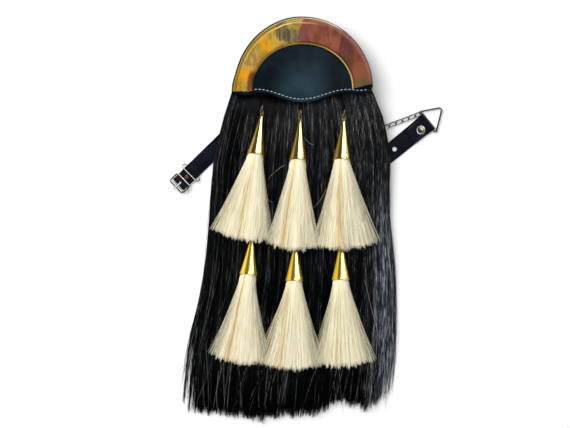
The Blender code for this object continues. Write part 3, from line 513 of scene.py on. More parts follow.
def add_strands(name, paths, radius, tone, material, slot, *nodes, tips=0.30):
    """A piece of fine strands, each with its own tone."""
    points, quads, caps = strands(paths, radius, tips)
    points[:, 2] = np.maximum(points[:, 2], 0.0)
    mesh = bpy.data.meshes.new(name)
    corners = np.concatenate([quads.ravel(), caps.ravel()]).astype(np.int32)
    sizes = np.concatenate([np.full(len(quads), 4), np.full(len(caps), 3)])
    mesh.vertices.add(len(points))
    mesh.vertices.foreach_set("co", points.astype(np.float32).ravel())
    mesh.loops.add(len(corners))
    mesh.loops.foreach_set("vertex_index", corners)
    mesh.polygons.add(len(sizes))
    starts = np.concatenate([[0], np.cumsum(sizes)[:-1]]).astype(np.int32)
    mesh.polygons.foreach_set("loop_start", starts)
    mesh.update(calc_edges=True)
    mesh.shade_smooth()
    tone = np.broadcast_to(np.reshape(tone, (len(paths), -1)), paths.shape[:2])
    fit(name, mesh, material, np.repeat(tone.ravel(), 3).astype(np.float32), nodes)


def hair_finish(name, colours, roughness, streak_scale, specular, contrast, cold=None):
    """Horsehair: long fine streaks along the fall, and a tone of its own for each strand. Where it has
    cold tones, the hair is crinkled on its right and catches a blue light low at that edge."""
    material, ink, shader, place = new_finish(name, {"Specular IOR Level": specular})
    comb = ink.noise(ink.stretched(place, (1.0, 0.07, 0.35)), streak_scale, 3.0, 0.6)
    fine = ink.noise(ink.stretched(place, (1.0, 0.03, 0.5)), streak_scale * 2.6, 2.0, 0.5)
    mixed = ink.tone() + ((comb - 0.5) * 1.2 + (fine - 0.5) * 0.5) * contrast
    if cold:
        crimp = ink.noise(ink.stretched(place, (1.0, 0.15, 0.35)), streak_scale * 0.9, 3.0, 0.6)
        x, y = (ink.node("SeparateXYZ", {0: place}, out=k) for k in range(2))
        side = (x + (comb - 0.5) * 0.02).rise(0.074, 0.098) * y.rise(-0.09, -0.17)
        crinkled = mixed + (crimp - 0.52) * 1.5 * x.rise(-0.02, 0.05)
        colour = side.tint(ink.ramp(crinkled, colours), ink.ramp(mixed + (crimp - 0.5) * 1.3, cold))
    else:
        colour = ink.ramp(mixed, colours)
    ink.join(colour, shader["Base Color"])
    ink.join(roughness + (fine - 0.5) * 0.2, shader["Roughness"])
    ink.join(ink.bump(comb + fine * 0.5, 0.0005, 0.6), shader["Normal"])
    return material


BLACK_TONES = (
    (0.00, (0.0006, 0.0009, 0.0013)),
    (0.35, (0.0018, 0.0031, 0.0044)),
    (0.60, (0.0125, 0.0145, 0.0165)),
    (0.80, (0.0530, 0.0540, 0.0545)),
    (0.94, (0.1150, 0.1080, 0.1040)),
    (1.00, (0.2600, 0.2500, 0.2450)),
)
COLD_TONES = (
    (0.00, (0.0008, 0.0012, 0.0018)),
    (0.30, (0.0040, 0.0052, 0.0075)),
    (0.55, (0.0420, 0.0500, 0.0660)),
    (0.78, (0.1700, 0.1900, 0.2250)),
    (1.00, (0.4400, 0.4700, 0.5200)),
)
black_hair = hair_finish("black_horsehair", BLACK_TONES, 0.45, 620.0, 0.10, 0.8, COLD_TONES)


def hair_end(across):
    """Share of the hair's full length that it has at a place across."""
    return np.interp(across, HAIR_ENDS[:, 0], HAIR_ENDS[:, 1])


draw = np.random.default_rng(41)
column = np.linspace(0, 1, BODY_ACROSS)
ridges = np.cumsum(draw.normal(0, 1, (BODY_ACROSS, 1)) * 0.35, 0)
ridges = np.sin(ridges + 2 * math.pi * 34 * column[:, None] + 2.0 * draw.random((BODY_ACROSS, 1)))
across = 0.022 + 0.956 * column
ends = hair_end(across) - 0.034
ends -= 0.014 * (0.5 + 0.5 * ridges[:, 0])
rings = []
for y, half in HEAD_ROWS:
    x = (2 * column - 1) * half
    upper, under = (np.stack([x, np.full_like(x, y), np.full_like(x, z)], -1) for z in (HEAD_TOP, POUCH_TOP))
    rings.append(np.concatenate([upper, under[::-3]]))
for share in np.linspace(0, 1, BODY_DOWN):
    down = -0.007 + (ends + 0.007) * share
    thinned = np.interp(share, (0.60, 0.85), (0.0, 1.0))
    across = (0.006 + 0.054 * thinned) + (0.988 - 0.090 * thinned) * column
    upper = hair_spot(across, down, 1.0)
    under = hair_spot(across, down, 0.0)
    growth = min(share * 30, 1.0)
    upper[:, 2] -= growth * (BODY_DEPTH - 0.0005 * ridges[:, 0])
    upper[:, 2] = np.maximum(upper[:, 2], under[:, 2] + 0.0006)
    rings.append(np.concatenate([upper, under[::-3]]))
body = loft(rings)
add_piece("hair_body", [body], black_hair, "horsehair_black", "hair", tone=np.full(len(body[0]), 0.12))


def sweep_paths(root, tip, ends, level, lift, wave, points):
    """Paths of many strands from the panel's hem to their ends."""
    share = np.linspace(0, 1, points)[None, :] ** SHARE_BEND
    across = root[:, None] + (tip - root)[:, None] * share ** 1.3
    down = -0.006 + (ends[:, None] + 0.006) * share
    paths = hair_spot(np.clip(across, 0.0, 1.0), down, level[:, None])
    amount, turns, start = wave
    paths[..., 0] += amount[:, None] * np.sin(2 * math.pi * (turns[:, None] * share + start[:, None])) * share
    outside = across - np.clip(across, 0.0, 1.0)
    paths[..., 0] += outside * 2 * HAIR_REACH
    paths[..., 2] += lift[:, None] * np.minimum(share * 6, 1.0)
    return paths


lock_place = (np.arange(LOCKS) + draw.random(LOCKS)) / LOCKS
lock_pull = draw.uniform(0.25, 0.90, LOCKS)
lock_length = draw.normal(0, 0.006, LOCKS)
lock_wave = draw.normal(0, 0.0011, LOCKS)
lock_tone = draw.normal(0, 0.07, LOCKS)
lock_lift = draw.uniform(-0.0006, 0.0006, LOCKS)
tuft_length = draw.uniform(-0.022, 0.008, TUFTS)
tuft_chance = draw.random(TUFTS)

root = draw.uniform(0.004, 0.996, STRANDS)
lock = np.clip((root * LOCKS + draw.normal(0, 0.7, STRANDS)).astype(int), 0, LOCKS - 1)
tip = root + (lock_place[lock] - root) * lock_pull[lock] + draw.normal(0, 0.006, STRANDS)
tip = np.clip(tip, 0.0, 1.0)
tuft = np.clip((tip * TUFTS).astype(int), 0, TUFTS - 1)
ends = hair_end(tip) * (1 + lock_length[lock] + tuft_length[tuft])
ends -= np.abs(draw.normal(0, 0.009, STRANDS)) + (draw.random(STRANDS) < 0.12) * draw.uniform(0, 0.10, STRANDS)
level = 1 - np.where(draw.random(STRANDS) < 0.12, draw.random(STRANDS), np.abs(draw.normal(0, 0.03, STRANDS)))
lift = lock_lift[lock] + draw.normal(0, 0.00025, STRANDS) - 0.0002
wave = (
    lock_wave[lock] + draw.normal(0, 0.0005, STRANDS),
    draw.uniform(0.6, 1.6, STRANDS),
    draw.random(STRANDS),
)
paths = sweep_paths(root, tip, ends, np.clip(level, 0.05, 1.0), lift, wave, STRAND_POINTS)
radius = STRAND_RADIUS * draw.uniform(0.6, 1.35, STRANDS)
# Painted highlights: the pale strands, more of them to the right and low at both edges, are painted glints on
# the black hair; the tone also rises from the left to the middle.
tone = np.interp(root, (0.25, 0.42), (-0.22, 0.10)) + lock_tone[lock] + draw.normal(0, 0.07, STRANDS)
chance, paleness = draw.random(STRANDS), draw.uniform(0.20, 0.68, STRANDS)
above, below = (chance < np.interp(root, HAIR_GLINTS[:, 0], HAIR_GLINTS[:, c]) for c in (1, 2))
low_share = np.interp(np.linspace(0, 1, STRAND_POINTS) ** SHARE_BEND, (0.35, 0.62), (0.0, 1.0))
tone = tone[:, None] + paleness[:, None] * (above[:, None] * (1 - low_share) + below[:, None] * low_share)
# Low down, the left edge is painted paler for its glints and the middle a little darker.
tone += low_share * np.interp(root, (0.0, 0.05, 0.09, 0.84, 0.90), (0.42, 0.30, -0.14, -0.14, 0.0))[:, None]
kept = np.interp(tip, (0.0, 0.05, 0.075, 0.95, 0.97, 1.0), (0.34, 0.44, 1.0, 1.0, 0.40, 0.25))
kept = (tuft_chance[tuft] < kept) & (draw.random(STRANDS) < 0.4 + 0.6 * kept)
parting = np.searchsorted((1 / 3, 2 / 3), root)
for k, side in enumerate(("left", "middle", "right")):
    mine = (parting == k) & kept
    add_strands(f"hair_strands_{side}", paths[mine], radius[mine], np.clip(tone[mine], -0.4, 1), black_hair,
                "horsehair_black", "hair")

fringe = np.arange(FRINGE)
left_side = fringe % 2 == 0
root = np.where(left_side, draw.uniform(0.01, 0.07, FRINGE), draw.uniform(0.94, 0.99, FRINGE))
tip = np.where(left_side, draw.uniform(-0.010, 0.060, FRINGE), draw.uniform(0.950, 1.012, FRINGE))
ends = hair_end(tip) * draw.uniform(0.88, 1.015, FRINGE)
wave = (draw.uniform(0.0006, 0.0018, FRINGE), draw.uniform(2.0, 5.0, FRINGE), draw.random(FRINGE))
paths = sweep_paths(root, tip, ends, np.ones(FRINGE), np.full(FRINGE, -0.0004), wave, 26)
tone = np.where(left_side, draw.uniform(0.05, 0.45, FRINGE), draw.uniform(0.15, 0.80, FRINGE))
add_strands("hair_fringe", paths, FRINGE_RADIUS * draw.uniform(0.6, 1.3, FRINGE), tone, black_hair,
            "horsehair_black", "hair")

root = draw.uniform(0.01, 0.99, STRAYS)
tip = root + draw.normal(0, 0.075, STRAYS)
ends = hair_end(tip) * draw.uniform(0.86, 1.01, STRAYS)
tip = np.clip(tip, -0.012, 1.012)
wave = (draw.normal(0, 0.003, STRAYS), draw.uniform(0.5, 1.8, STRAYS), draw.random(STRAYS))
paths = sweep_paths(root, tip, ends, np.ones(STRAYS), draw.uniform(0.0001, 0.0007, STRAYS), wave, 14)
tone = draw.uniform(0.30, 0.95, STRAYS)
add_strands("hair_strays", paths, STRAY_RADIUS * draw.uniform(0.7, 1.3, STRAYS), tone, black_hair,
            "horsehair_black", "hair")

middle = draw.uniform(0.05, 0.97, CROSSING)
slant = draw.normal(0, 0.055, CROSSING)
first = draw.uniform(0.66, 0.86, CROSSING)
share = np.linspace(0, 1, 10)[None, :]
down = first[:, None] + (draw.uniform(0.96, 0.995, CROSSING) - first)[:, None] * share
across = middle[:, None] + slant[:, None] * share + 0.012 * np.sin(share * 3 + first[:, None] * 40)
paths = hair_spot(np.clip(across, 0.01, 0.99), down, 1.0)
paths[..., 2] += 0.0004
radius = CROSSING_RADIUS * draw.uniform(0.7, 1.3, CROSSING)
tone = draw.uniform(0.70, 1.3, CROSSING)
add_strands("hair_crossing", paths, radius, tone, black_hair, "horsehair_black", "hair")


# Front panel: one piece of smooth blue-black leather behind the brass, domed over a pad in its
# opening, with a turned and sewn lower edge that dips in the middle.
PANEL_RADIUS = 0.0832
PANEL_SHIFT = (-0.0005, 0.0004, 0.0)
PANEL_LOW = 0.0290
PANEL_LEATHER = 0.0026
PANEL_DOME = 0.0045
OPENING_HALF = 0.058
OPENING_RISE = 0.0515
SCALLOP_DIP = 0.0115
SCALLOP_LEFT = 0.052
SCALLOP_RIGHT = 0.055
BUMP_LEFT = 0.0030
BUMP_RIGHT = 0.0012
BUMP_HALF = 0.014
HEM_STITCH = 0.0043
HEM_ROLL = 0.0011
PANEL_EDGE = 0.0006
HEM_BAND = 0.009
HEM_THREAD = (0.0047, 0.0031, 0.00043, 0.0002)
SHORT_COLUMN = 0.02
PANEL_COLUMNS = 150
PRESS_TURNS = (0.0, 12.0, 22.0, 40.0, 60.0, 80.0)
PRESS_SHARES = (0.018, 0.046, 0.048, 0.038, 0.020, 0.0)


def hem_y(x):
    """Height of the panel's scalloped lower edge."""
    half = np.where(x < 0, SCALLOP_LEFT, SCALLOP_RIGHT)
    bump = np.where(x < 0, BUMP_LEFT, BUMP_RIGHT)
    x = np.abs(x)
    y = HEM_Y - np.where(x < half, SCALLOP_DIP * 0.5 * (1 + np.cos(math.pi * x / half)), 0.0)
    off = np.abs(x - half - BUMP_HALF)
    return y - np.where(off < BUMP_HALF, bump * 0.5 * (1 + np.cos(math.pi * off / BUMP_HALF)), 0.0)


def panel_face(x, y):
    """Height of the panel's face: its dome, the rolled hem and the furrow of the stitches."""
    reach = np.hypot(x / OPENING_HALF, np.maximum(y, 0.0) / OPENING_RISE)
    dome = PANEL_DOME * np.maximum(1 - reach * reach, 0) ** 1.2
    low = hem_y(x)
    dome = dome * np.where(y < 0, 1 - 0.55 * np.minimum(y / low, 1.0) ** 2, 1.0)
    inside = y - low
    furrow = 0.0005 * np.exp(-((inside - HEM_STITCH) / 0.0009) ** 2)
    swell = 0.0006 * np.exp(-((inside - HEM_STITCH * 0.45) / 0.0014) ** 2)
    return PANEL_LOW + PANEL_LEATHER + dome + swell - furrow


def pressed_in(points):
    """The arch is a little flatter on its left, where it has been pressed in."""
    x, y = points[..., 0], points[..., 1]
    reach = np.hypot(x, y)
    press = np.interp(np.degrees(np.arctan2(y, -x)), PRESS_TURNS, PRESS_SHARES)
    press = press * np.clip((reach - OPENING_HALF) / (PANEL_RADIUS - OPENING_HALF), 0, 1)
    return points * np.stack([1 - press, 1 - press, np.ones_like(press)], -1)


def rolled(inside, roll):
    """How far a rounded edge has fallen away at a distance inside it."""
    fall = np.clip(1 - inside / roll, 0, 1)
    return roll * (1 - np.sqrt(1 - fall ** 2))


rows = np.concatenate([np.linspace(0, HEM_BAND, 26), np.linspace(0.0105, 0.100, 44)])
rings = []
for i in range(PANEL_COLUMNS + 1):
    x = PANEL_RADIUS * math.sin(math.pi * (i / PANEL_COLUMNS - 0.5)) * 0.9995
    low = float(hem_y(x))
    high = math.sqrt(max(PANEL_RADIUS ** 2 - x * x, 0.0))
    tall = high - low
    if tall > SHORT_COLUMN:
        inside = HEM_BAND + (rows - HEM_BAND) * (tall - HEM_BAND) / (rows[-1] - HEM_BAND)
        inside = np.where(rows > HEM_BAND, inside, rows)
    else:
        inside = rows * tall / rows[-1]
    y = low + inside
    z = panel_face(np.full_like(y, x), y) - rolled(inside, HEM_ROLL) - rolled(high - y, PANEL_EDGE)
    face = np.stack([np.full_like(y, x), y, z], -1)
    back = np.array([(x, high, PANEL_LOW + 0.0003), (x, high - 0.0004, PANEL_LOW),
                     (x, low + PANEL_EDGE, PANEL_LOW), (x, low, PANEL_LOW + PANEL_EDGE)])
    rings.append(pressed_in(np.concatenate([face, back]) + PANEL_SHIFT))
# The panel's lighter patch at the lower middle is partly dust and partly painted sheen.
panel_leather = leather_finish(
    "panel_leather", (0.0010, 0.0040, 0.0066), (0.016, 0.034, 0.048), 0.34, 1900.0,
    dust_and_sheen_spot=(0.002, -0.001, 0.036), shine=0.09)
add_piece("panel_leather", [loft(rings)], panel_leather, "leather_black", "front_panel")

x = np.linspace(-0.0800, 0.0800, 300)
y = hem_y(x) + HEM_STITCH
path = pressed_in(np.stack([x, y, panel_face(x, y)], -1) + PANEL_SHIFT)
white_thread = thread_finish("white_thread", (0.62, 0.70, 0.76), (0.32, 0.38, 0.44))
add_piece("panel_stitches", threads(path, *HEM_THREAD), white_thread, "leather_black")


# Cantle: an arch pressed from sheet brass, with a broad outer bevel and a narrow inner one. It is lacquered
# brass, yellow on the left, olive at the top and copper-red on the right: partly tarnish, partly painted
# reflection.
CANTLE_RADIUS = 0.0825
CANTLE_END = 0.002
CANTLE_LOW = 0.0319
CANTLE_HEIGHT = 0.0040
OUTER_BEVEL = 0.0060
INNER_BEVEL = 0.0035
CANTLE_RIM = 0.0014
CANTLE_STEPS = 160
CANTLE_TURN = 1.3
CANTLE_SHIFT = (0.0006, -0.0004)
CANTLE_SKEW = math.radians(2.3)


def cantle_finish():
    """Lacquered brass, yellow, olive and copper-red by place round the arch; the colours are partly tarnish and
    partly painted reflection.
    """
    material, ink, shader, place = new_finish("tarnished_brass", {"Specular IOR Level": 0.5})
    x, y = (ink.node("SeparateXYZ", {0: place}, out=k) for k in range(2))
    cloud = ink.noise(place, 46.0, 3.0, 0.5, 0.6)
    fleck = ink.noise(place, 150.0, 4.0, 0.6, 0.4)
    stain_and_painted_light = ink.noise(place, 26.0, 4.0, 0.55, 0.5)
    reach = ink.tone()
    inner = ink.node("VectorMath", {0: ink.stretched(place, (1 / OPENING_HALF, 1 / OPENING_RISE, 0.0))}, out=1,
                     operation="LENGTH") - x * 0.19
    weave = ink.noise(ink.stretched(place, (1.0, 0.10, 1.0)), 420.0, 3.0, 0.6, 0.4)

    def near(spot, wide, narrow, ragged, by):
        return (ink.distance(place, (*spot, 0.035)) + (by - 0.5) * ragged).rise(wide, narrow)

    streak = ink.noise(ink.stretched(place, (1.0, 0.35, 1.0)), 90.0, 4.0, 0.6, 1.1)
    gold = cloud.rise(0.38, 0.58).tint((0.48, 0.27, 0.022), (0.88, 0.43, 0.014))
    gold = (streak.rise(0.50, 0.62) * 0.7).tint(gold, (0.72, 0.47, 0.080))
    gold = (fleck.rise(0.50, 0.66) * 0.5).tint(gold, (0.38, 0.23, 0.030))
    pale = (weave * 0.5 + cloud * 0.5).rise(0.42, 0.58).tint((0.46, 0.27, 0.055), (0.72, 0.46, 0.120))
    gold = near((-0.061, 0.033), 0.020, 0.004, 0.026, streak).tint(gold, pale)
    gold = near((-0.047, 0.058), 0.0090, 0.0010, 0.014, streak).tint(gold, (1.00, 0.42, 0.008))
    gold = near((-0.066, 0.014), 0.0130, 0.0015, 0.018, streak).tint(gold, (1.00, 0.44, 0.008))
    ridge = reach + (cloud - 0.5) * 0.003
    gold = (ridge.rise(0.0766, 0.0776) * 0.85).tint(gold, (0.32, 0.20, 0.016))
    heel = (inner + (fleck - 0.5) * 0.10).rise(1.15, 1.09) * (y + (cloud - 0.5) * 0.012).rise(0.026, 0.014)
    heel = heel * x.rise(-0.02, -0.03)
    gold = heel.tint(gold, (0.22, 0.070, 0.020))
    red = (stain_and_painted_light * 0.5 + streak * 0.5).rise(0.40, 0.58).tint((0.105, 0.025, 0.014), (0.215, 0.054, 0.024))
    red = (fleck.rise(0.48, 0.64) * 0.5).tint(red, (0.080, 0.022, 0.013))
    red = (streak.rise(0.52, 0.66) * 0.5).tint(red, (0.290, 0.088, 0.038))
    red = near((0.073, 0.016), 0.018, 0.006, 0.030, streak).tint(red, (0.215, 0.062, 0.019))
    red = (ridge.rise(0.0764, 0.0776) * 0.5).tint(red, (0.110, 0.030, 0.020))
    olive = (fleck * 0.3 + weave * 0.7).rise(0.40, 0.62).tint((0.062, 0.045, 0.020), (0.220, 0.160, 0.056))
    turn = (x + (cloud - 0.5) * 0.020 - (y - 0.068) * 0.25).rise(-0.004, 0.003)
    # Gold on the left and red on the right, partly tarnish and partly painted reflection.
    colour = turn.tint(gold, red)
    patch = near((-0.021, 0.063), 0.016, 0.011, 0.030, streak).maths(
        "MAXIMUM", near((-0.009, 0.062), 0.012, 0.009, 0.018, stain_and_painted_light))
    colour = patch.tint(colour, olive)
    for spot, wide, narrow, ragged, by, stain_and_painted_light_mark in (
        # place, clear from here, full within, raggedness, by which cloud, colour
        ((0.003, 0.067), 0.0090, 0.0015, 0.018, streak, (0.180, 0.038, 0.044)),
        ((0.071, -0.003), 0.0190, 0.0100, 0.022, fleck, (0.120, 0.072, 0.022)),
        ((0.078, -0.001), 0.0120, 0.0040, 0.022, fleck, (0.055, 0.042, 0.020)),
        ((0.050, 0.026), 0.0090, 0.0020, 0.020, fleck, (0.060, 0.026, 0.014)),
        ((-0.010, 0.079), 0.0110, 0.0070, 0.016, streak, (0.36, 0.25, 0.050)),
    ):
        colour = near(spot, wide, narrow, ragged, by).tint(colour, stain_and_painted_light_mark)
    rim = inner.rise(1.028, 1.014) * (1 - heel) * (0.55 + 0.45 * x.rise(0.020, 0.036))
    colour = rim.tint(colour, (0.86, 0.62, 0.170))
    glint = ridge.rise(0.0752, 0.0760) * ridge.rise(0.0776, 0.0766)
    glint = glint * y.rise(0.020, 0.034) * x.rise(0.030, -0.024)
    colour = (glint * 0.85).tint(colour, (0.82, 0.60, 0.180))
    edge = reach.rise(0.0808, 0.0816) * x.rise(-0.060, -0.030) * x.rise(0.052, 0.036)
    colour = edge.tint(colour, (0.66, 0.54, 0.290))
    dull = (turn + patch).maths("MINIMUM", 1.0)
    ink.join(colour, shader["Base Color"])
    ink.join(0.55 - 0.20 * dull, shader["Metallic"])
    ink.join(0.24 + 0.14 * cloud + 0.20 * dull, shader["Roughness"])
    ink.join(ink.bump(cloud * 0.7 + fleck * 0.2 + streak * 0.4, 0.0010, 0.22), shader["Normal"])
    return material


rings, radii = [], []
lean = math.radians(CANTLE_TURN)
lean = np.array(((math.cos(lean), math.sin(lean)), (-math.sin(lean), math.cos(lean))))
for k in range(CANTLE_STEPS + 1):
    turn = math.pi * k / CANTLE_STEPS
    wide = CANTLE_SKEW + (math.pi - CANTLE_SKEW) * k / CANTLE_STEPS
    outer = np.array((math.cos(wide), math.sin(wide), 0.0)) * CANTLE_RADIUS
    inner = np.array((OPENING_HALF * math.cos(turn), OPENING_RISE * math.sin(turn), 0.0))
    if k in (0, CANTLE_STEPS):
        inner[1] = -CANTLE_END
        outer[1] -= CANTLE_END * (k > 0)
    band = float(np.linalg.norm(inner - outer))
    inward = unit(inner - outer)
    flat = band - OUTER_BEVEL - INNER_BEVEL
    profile = [(0.0003, 0.0), (0.0, 0.0003), (0.0, CANTLE_RIM - 0.0004), (0.0003, CANTLE_RIM)]
    profile += [(OUTER_BEVEL * s, CANTLE_RIM + (CANTLE_HEIGHT - CANTLE_RIM) * math.sin(s * math.pi / 2) ** 0.9)
                for s in (0.2, 0.4, 0.6, 0.8, 0.93)]
    profile += [(OUTER_BEVEL + flat * s, CANTLE_HEIGHT - 0.0003 * math.sin(s * math.pi)) for s in
                (0.0, 0.06, 0.15, 0.3, 0.5, 0.7, 0.85, 0.94, 1.0)]
    profile += [(band - INNER_BEVEL * (1 - s), CANTLE_HEIGHT - (CANTLE_HEIGHT - CANTLE_RIM) * s ** 1.3)
                for s in (0.12, 0.35, 0.6, 0.85)]
    profile += [(band - 0.0002, CANTLE_RIM - 0.0001), (band, CANTLE_RIM - 0.0005), (band, 0.0)]
    ring = np.array([outer + inward * a + np.array((0, 0, CANTLE_LOW + up)) for a, up in profile])
    ring[:, :2] = ring[:, :2] @ lean + CANTLE_SHIFT
    radii.append(np.hypot(ring[:, 0], ring[:, 1]))
    rings.append(pressed_in(ring))
add_piece("cantle_arch", [loft(rings)], cantle_finish(), "brass", "cantle", sharp=32,
          tone=np.concatenate(radii))


# Tassels: six thin brass cones, spun and polished, with a turned-over rim and a wire eye soldered in
# the tip. Each holds a brush of cream horsehair that fans out over the black hair.
TASSEL_PITCH = 0.0485
UPPER_ROW = 0.0370
ROW_DROP = 0.1430
CONE_LENGTH = 0.0435
CONE_BASE = 0.0100
CONE_TIP = 0.0016
CONE_WALL = 0.0008
CONE_ROLL = 0.0006
CONE_HOLLOW = 0.84
CONE_SIDES = 72
CONE_CAP = 0.0006
EYE_RADIUS = 0.0021
EYE_WIRE = 0.0006
EYE_STEPS = 28
CONE_LONGER = (0.0028, 0.0)
HAIR_SEAT = 0.0008
BRUSH_LENGTH = 0.1050
BRUSH_SPREAD = 0.0320
BRUSH_ARCH = 0.0100
BRUSH_ARCH_HALF = 0.010
BRUSH_HAIRS = 1330
BRUSH_POINTS = 7
BRUSH_RADIUS = 0.00028
BRUSH_WISPS = 110
BRUSH_SIDES = 60
BRUSH_TUFTS = 40
TASSELS = (
    # name, row, across, drop, lean, length, spread, sway
    ("upper_left", 0, -0.979, -0.072, -0.145, 0.970, 0.980, -0.180),
    ("upper_middle", 0, -0.045, 0.052, -0.057, 1.010, 0.860, -0.068),
    ("upper_right", 0, 1.008, 0.045, -0.060, 1.005, 1.040, 0.042),
    ("lower_left", 1, -1.206, -0.093, -0.101, 1.000, 0.870, -0.121),
    ("lower_middle", 1, -0.157, 0.052, -0.032, 0.990, 0.985, -0.050),
    ("lower_right", 1, 0.946, 0.029, -0.016, 0.965, 0.920, 0.040),
)
TAN_BANDS = {
    # where across the brush, how dark
    "upper_left": (0.10, 0.24),
    "upper_middle": (0.42, 0.44),
    "upper_right": (0.18, 0.52),
    "lower_left": (0.45, 0.56),
    "lower_middle": (0.42, 0.34),
    "lower_right": (0.30, 0.26),
}
BRUSH_SECTIONS = np.array((
    # along, wide, thick, sag, arch
    (0.00, 0.28, 0.94, 0.00, 0.0),
    (0.06, 0.31, 0.94, 0.06, 0.0),
    (0.20, 0.43, 0.86, 0.42, 0.0),
    (0.42, 0.60, 0.68, 0.84, 0.0),
    (0.66, 0.77, 0.52, 1.00, 0.2),
    (0.86, 0.91, 0.38, 1.00, 0.8),
    (1.00, 1.00, 0.32, 1.00, 1.0),
))


def tassel_places(row):
    """Tip, base and brush end of one tassel, and its half-width at the end."""
    _, line, across, drop, lean, length, spread, sway = row
    tip = np.array((across * TASSEL_PITCH, -UPPER_ROW - line * ROW_DROP - drop * TASSEL_PITCH, 0.0))
    hang = np.array((lean, -math.sqrt(1 - lean * lean), 0.0))
    base = tip + CONE_LENGTH * hang
    run = length * BRUSH_LENGTH
    end = base + run * np.array((sway, -math.sqrt(1 - sway * sway), 0.0))
    base += CONE_LONGER[line] * hang
    tip[2] = hair_top(tip[0], tip[1]) + HAIR_SEAT + EYE_RADIUS + EYE_WIRE
    base[2] = hair_top(base[0], base[1]) + HAIR_SEAT + CONE_BASE + 2 * CONE_ROLL
    end[2] = hair_top(end[0], end[1])
    return tip, base, end, spread * BRUSH_SPREAD


def frame_at(along, up=(0.0, 0.0, 1.0)):
    """Three directions, the last along a line and the first as near to up as it can be."""
    z = unit(np.asarray(along, float))
    y = unit(np.cross(z, np.asarray(up, float)))
    return np.array((np.cross(y, z), y, z))


def turned(profile, place, axes, sides):
    """A turned shape from (height, radius) points; it closes on its axis at both ends."""
    turn = full_turn(sides)
    rings = []
    for height, radius in profile:
        ring = np.cos(turn) * axes[0] + np.sin(turn) * axes[1]
        rings.append(np.asarray(place) + max(radius, 1e-6) * ring + height * axes[2])
    return loft(rings)


def wire(path, radius, sides=12, wrap=False):
    """Round wire along a path; its open ends are domed."""
    path = np.asarray(path, float)
    if wrap:
        along = unit(np.roll(path, -1, 0) - np.roll(path, 1, 0))
    else:
        along = unit(np.concatenate([path[1:], path[-1:]]) - np.concatenate([path[:1], path[:-1]]))
    normal = unit(np.cross(along[0], (0.3, 0.2, 1.0)))
    turn = full_turn(sides)
    rings = []
    for point, direction in zip(path, along):
        normal = unit(normal - direction * normal.dot(direction))
        ring = np.cos(turn) * normal + np.sin(turn) * np.cross(direction, normal)
        rings.append(point + radius * ring)
    if not wrap:
        start, finish = rings[0], rings[-1]
        for share in (0.5, 0.85):
            small = math.sqrt(1 - share * share)
            rings.insert(0, path[0] + (start - path[0]) * small - along[0] * radius * share)
            rings.append(path[-1] + (finish - path[-1]) * small + along[-1] * radius * share)
    return loft(rings, wrap)


def polished_finish(name, base, tint, roughness, cloudy=0.5, scale=60.0, dent=0.0004, metal=1.0, stain_and_painted_light=None):
    """Polished metal: fine turning lines, faint dents, a cloudy film and, where its tone is high, two colours
    of painted reflection and shade.
    """
    material, ink, shader, place = new_finish(name, {"Metallic": metal})
    cloud = ink.noise(place, scale, 4.0, 0.6, 0.8)
    lines = ink.noise(ink.stretched(place, (0.15, 1.0, 0.15)), 2600.0, 2.0)
    film = cloud.rise(0.45, 0.75) * cloudy
    colour = film.tint(base, tint)
    if stain_and_painted_light:
        tone = ink.tone()
        colour = tone.rise(0.15, 0.45).tint(colour, stain_and_painted_light[0])
        colour = (tone + (cloud - 0.5) * 0.4).rise(0.55, 0.95).tint(colour, stain_and_painted_light[1])
        ink.join(metal - 0.45 * tone.rise(0.15, 0.45), shader["Metallic"])
    ink.join(colour, shader["Base Color"])
    ink.join(roughness + 0.14 * film + 0.05 * lines, shader["Roughness"])
    ink.join(ink.bump(cloud + lines * 0.04, dent, 0.3), shader["Normal"])
    return material


IVORY_TONES = (
    (0.00, (0.90, 0.86, 0.68)),
    (0.35, (0.84, 0.77, 0.54)),
    (0.70, (0.74, 0.59, 0.32)),
    (1.00, (0.50, 0.34, 0.14)),
)
white_hair = hair_finish("cream_horsehair", IVORY_TONES, 0.50, 520.0, 0.2, 0.32)
# The cones' extra pair of colours paints reflection bands; the lower cones have a brighter copy of the brass
# for the light that falls on them.
cone_brass = polished_finish("cone_brass", (0.95, 0.73, 0.25), (0.62, 0.42, 0.11), 0.11, 0.5, 90.0,
                             stain_and_painted_light=((0.56, 0.32, 0.045), (0.095, 0.080, 0.018)))
low_brass = polished_finish("low_cone_brass", (1.00, 0.78, 0.22), (0.86, 0.58, 0.10), 0.11, 0.5, 90.0,
                            metal=0.85, stain_and_painted_light=((1.00, 0.64, 0.050), (0.20, 0.145, 0.040)))
old_brass = polished_finish("old_brass", (0.36, 0.26, 0.120), (0.060, 0.045, 0.025), 0.32, 1.0, 330.0)
# Painted shade: a near-black copy of the old brass for chain links that lie in shade.
painted_shade_brass = polished_finish("painted_shade_brass", (0.014, 0.012, 0.010), (0.005, 0.004, 0.004), 0.45, 1.0, 330.0)
lower_tips = [tassel_places(row)[0][0] for row in TASSELS if row[1] == 1]


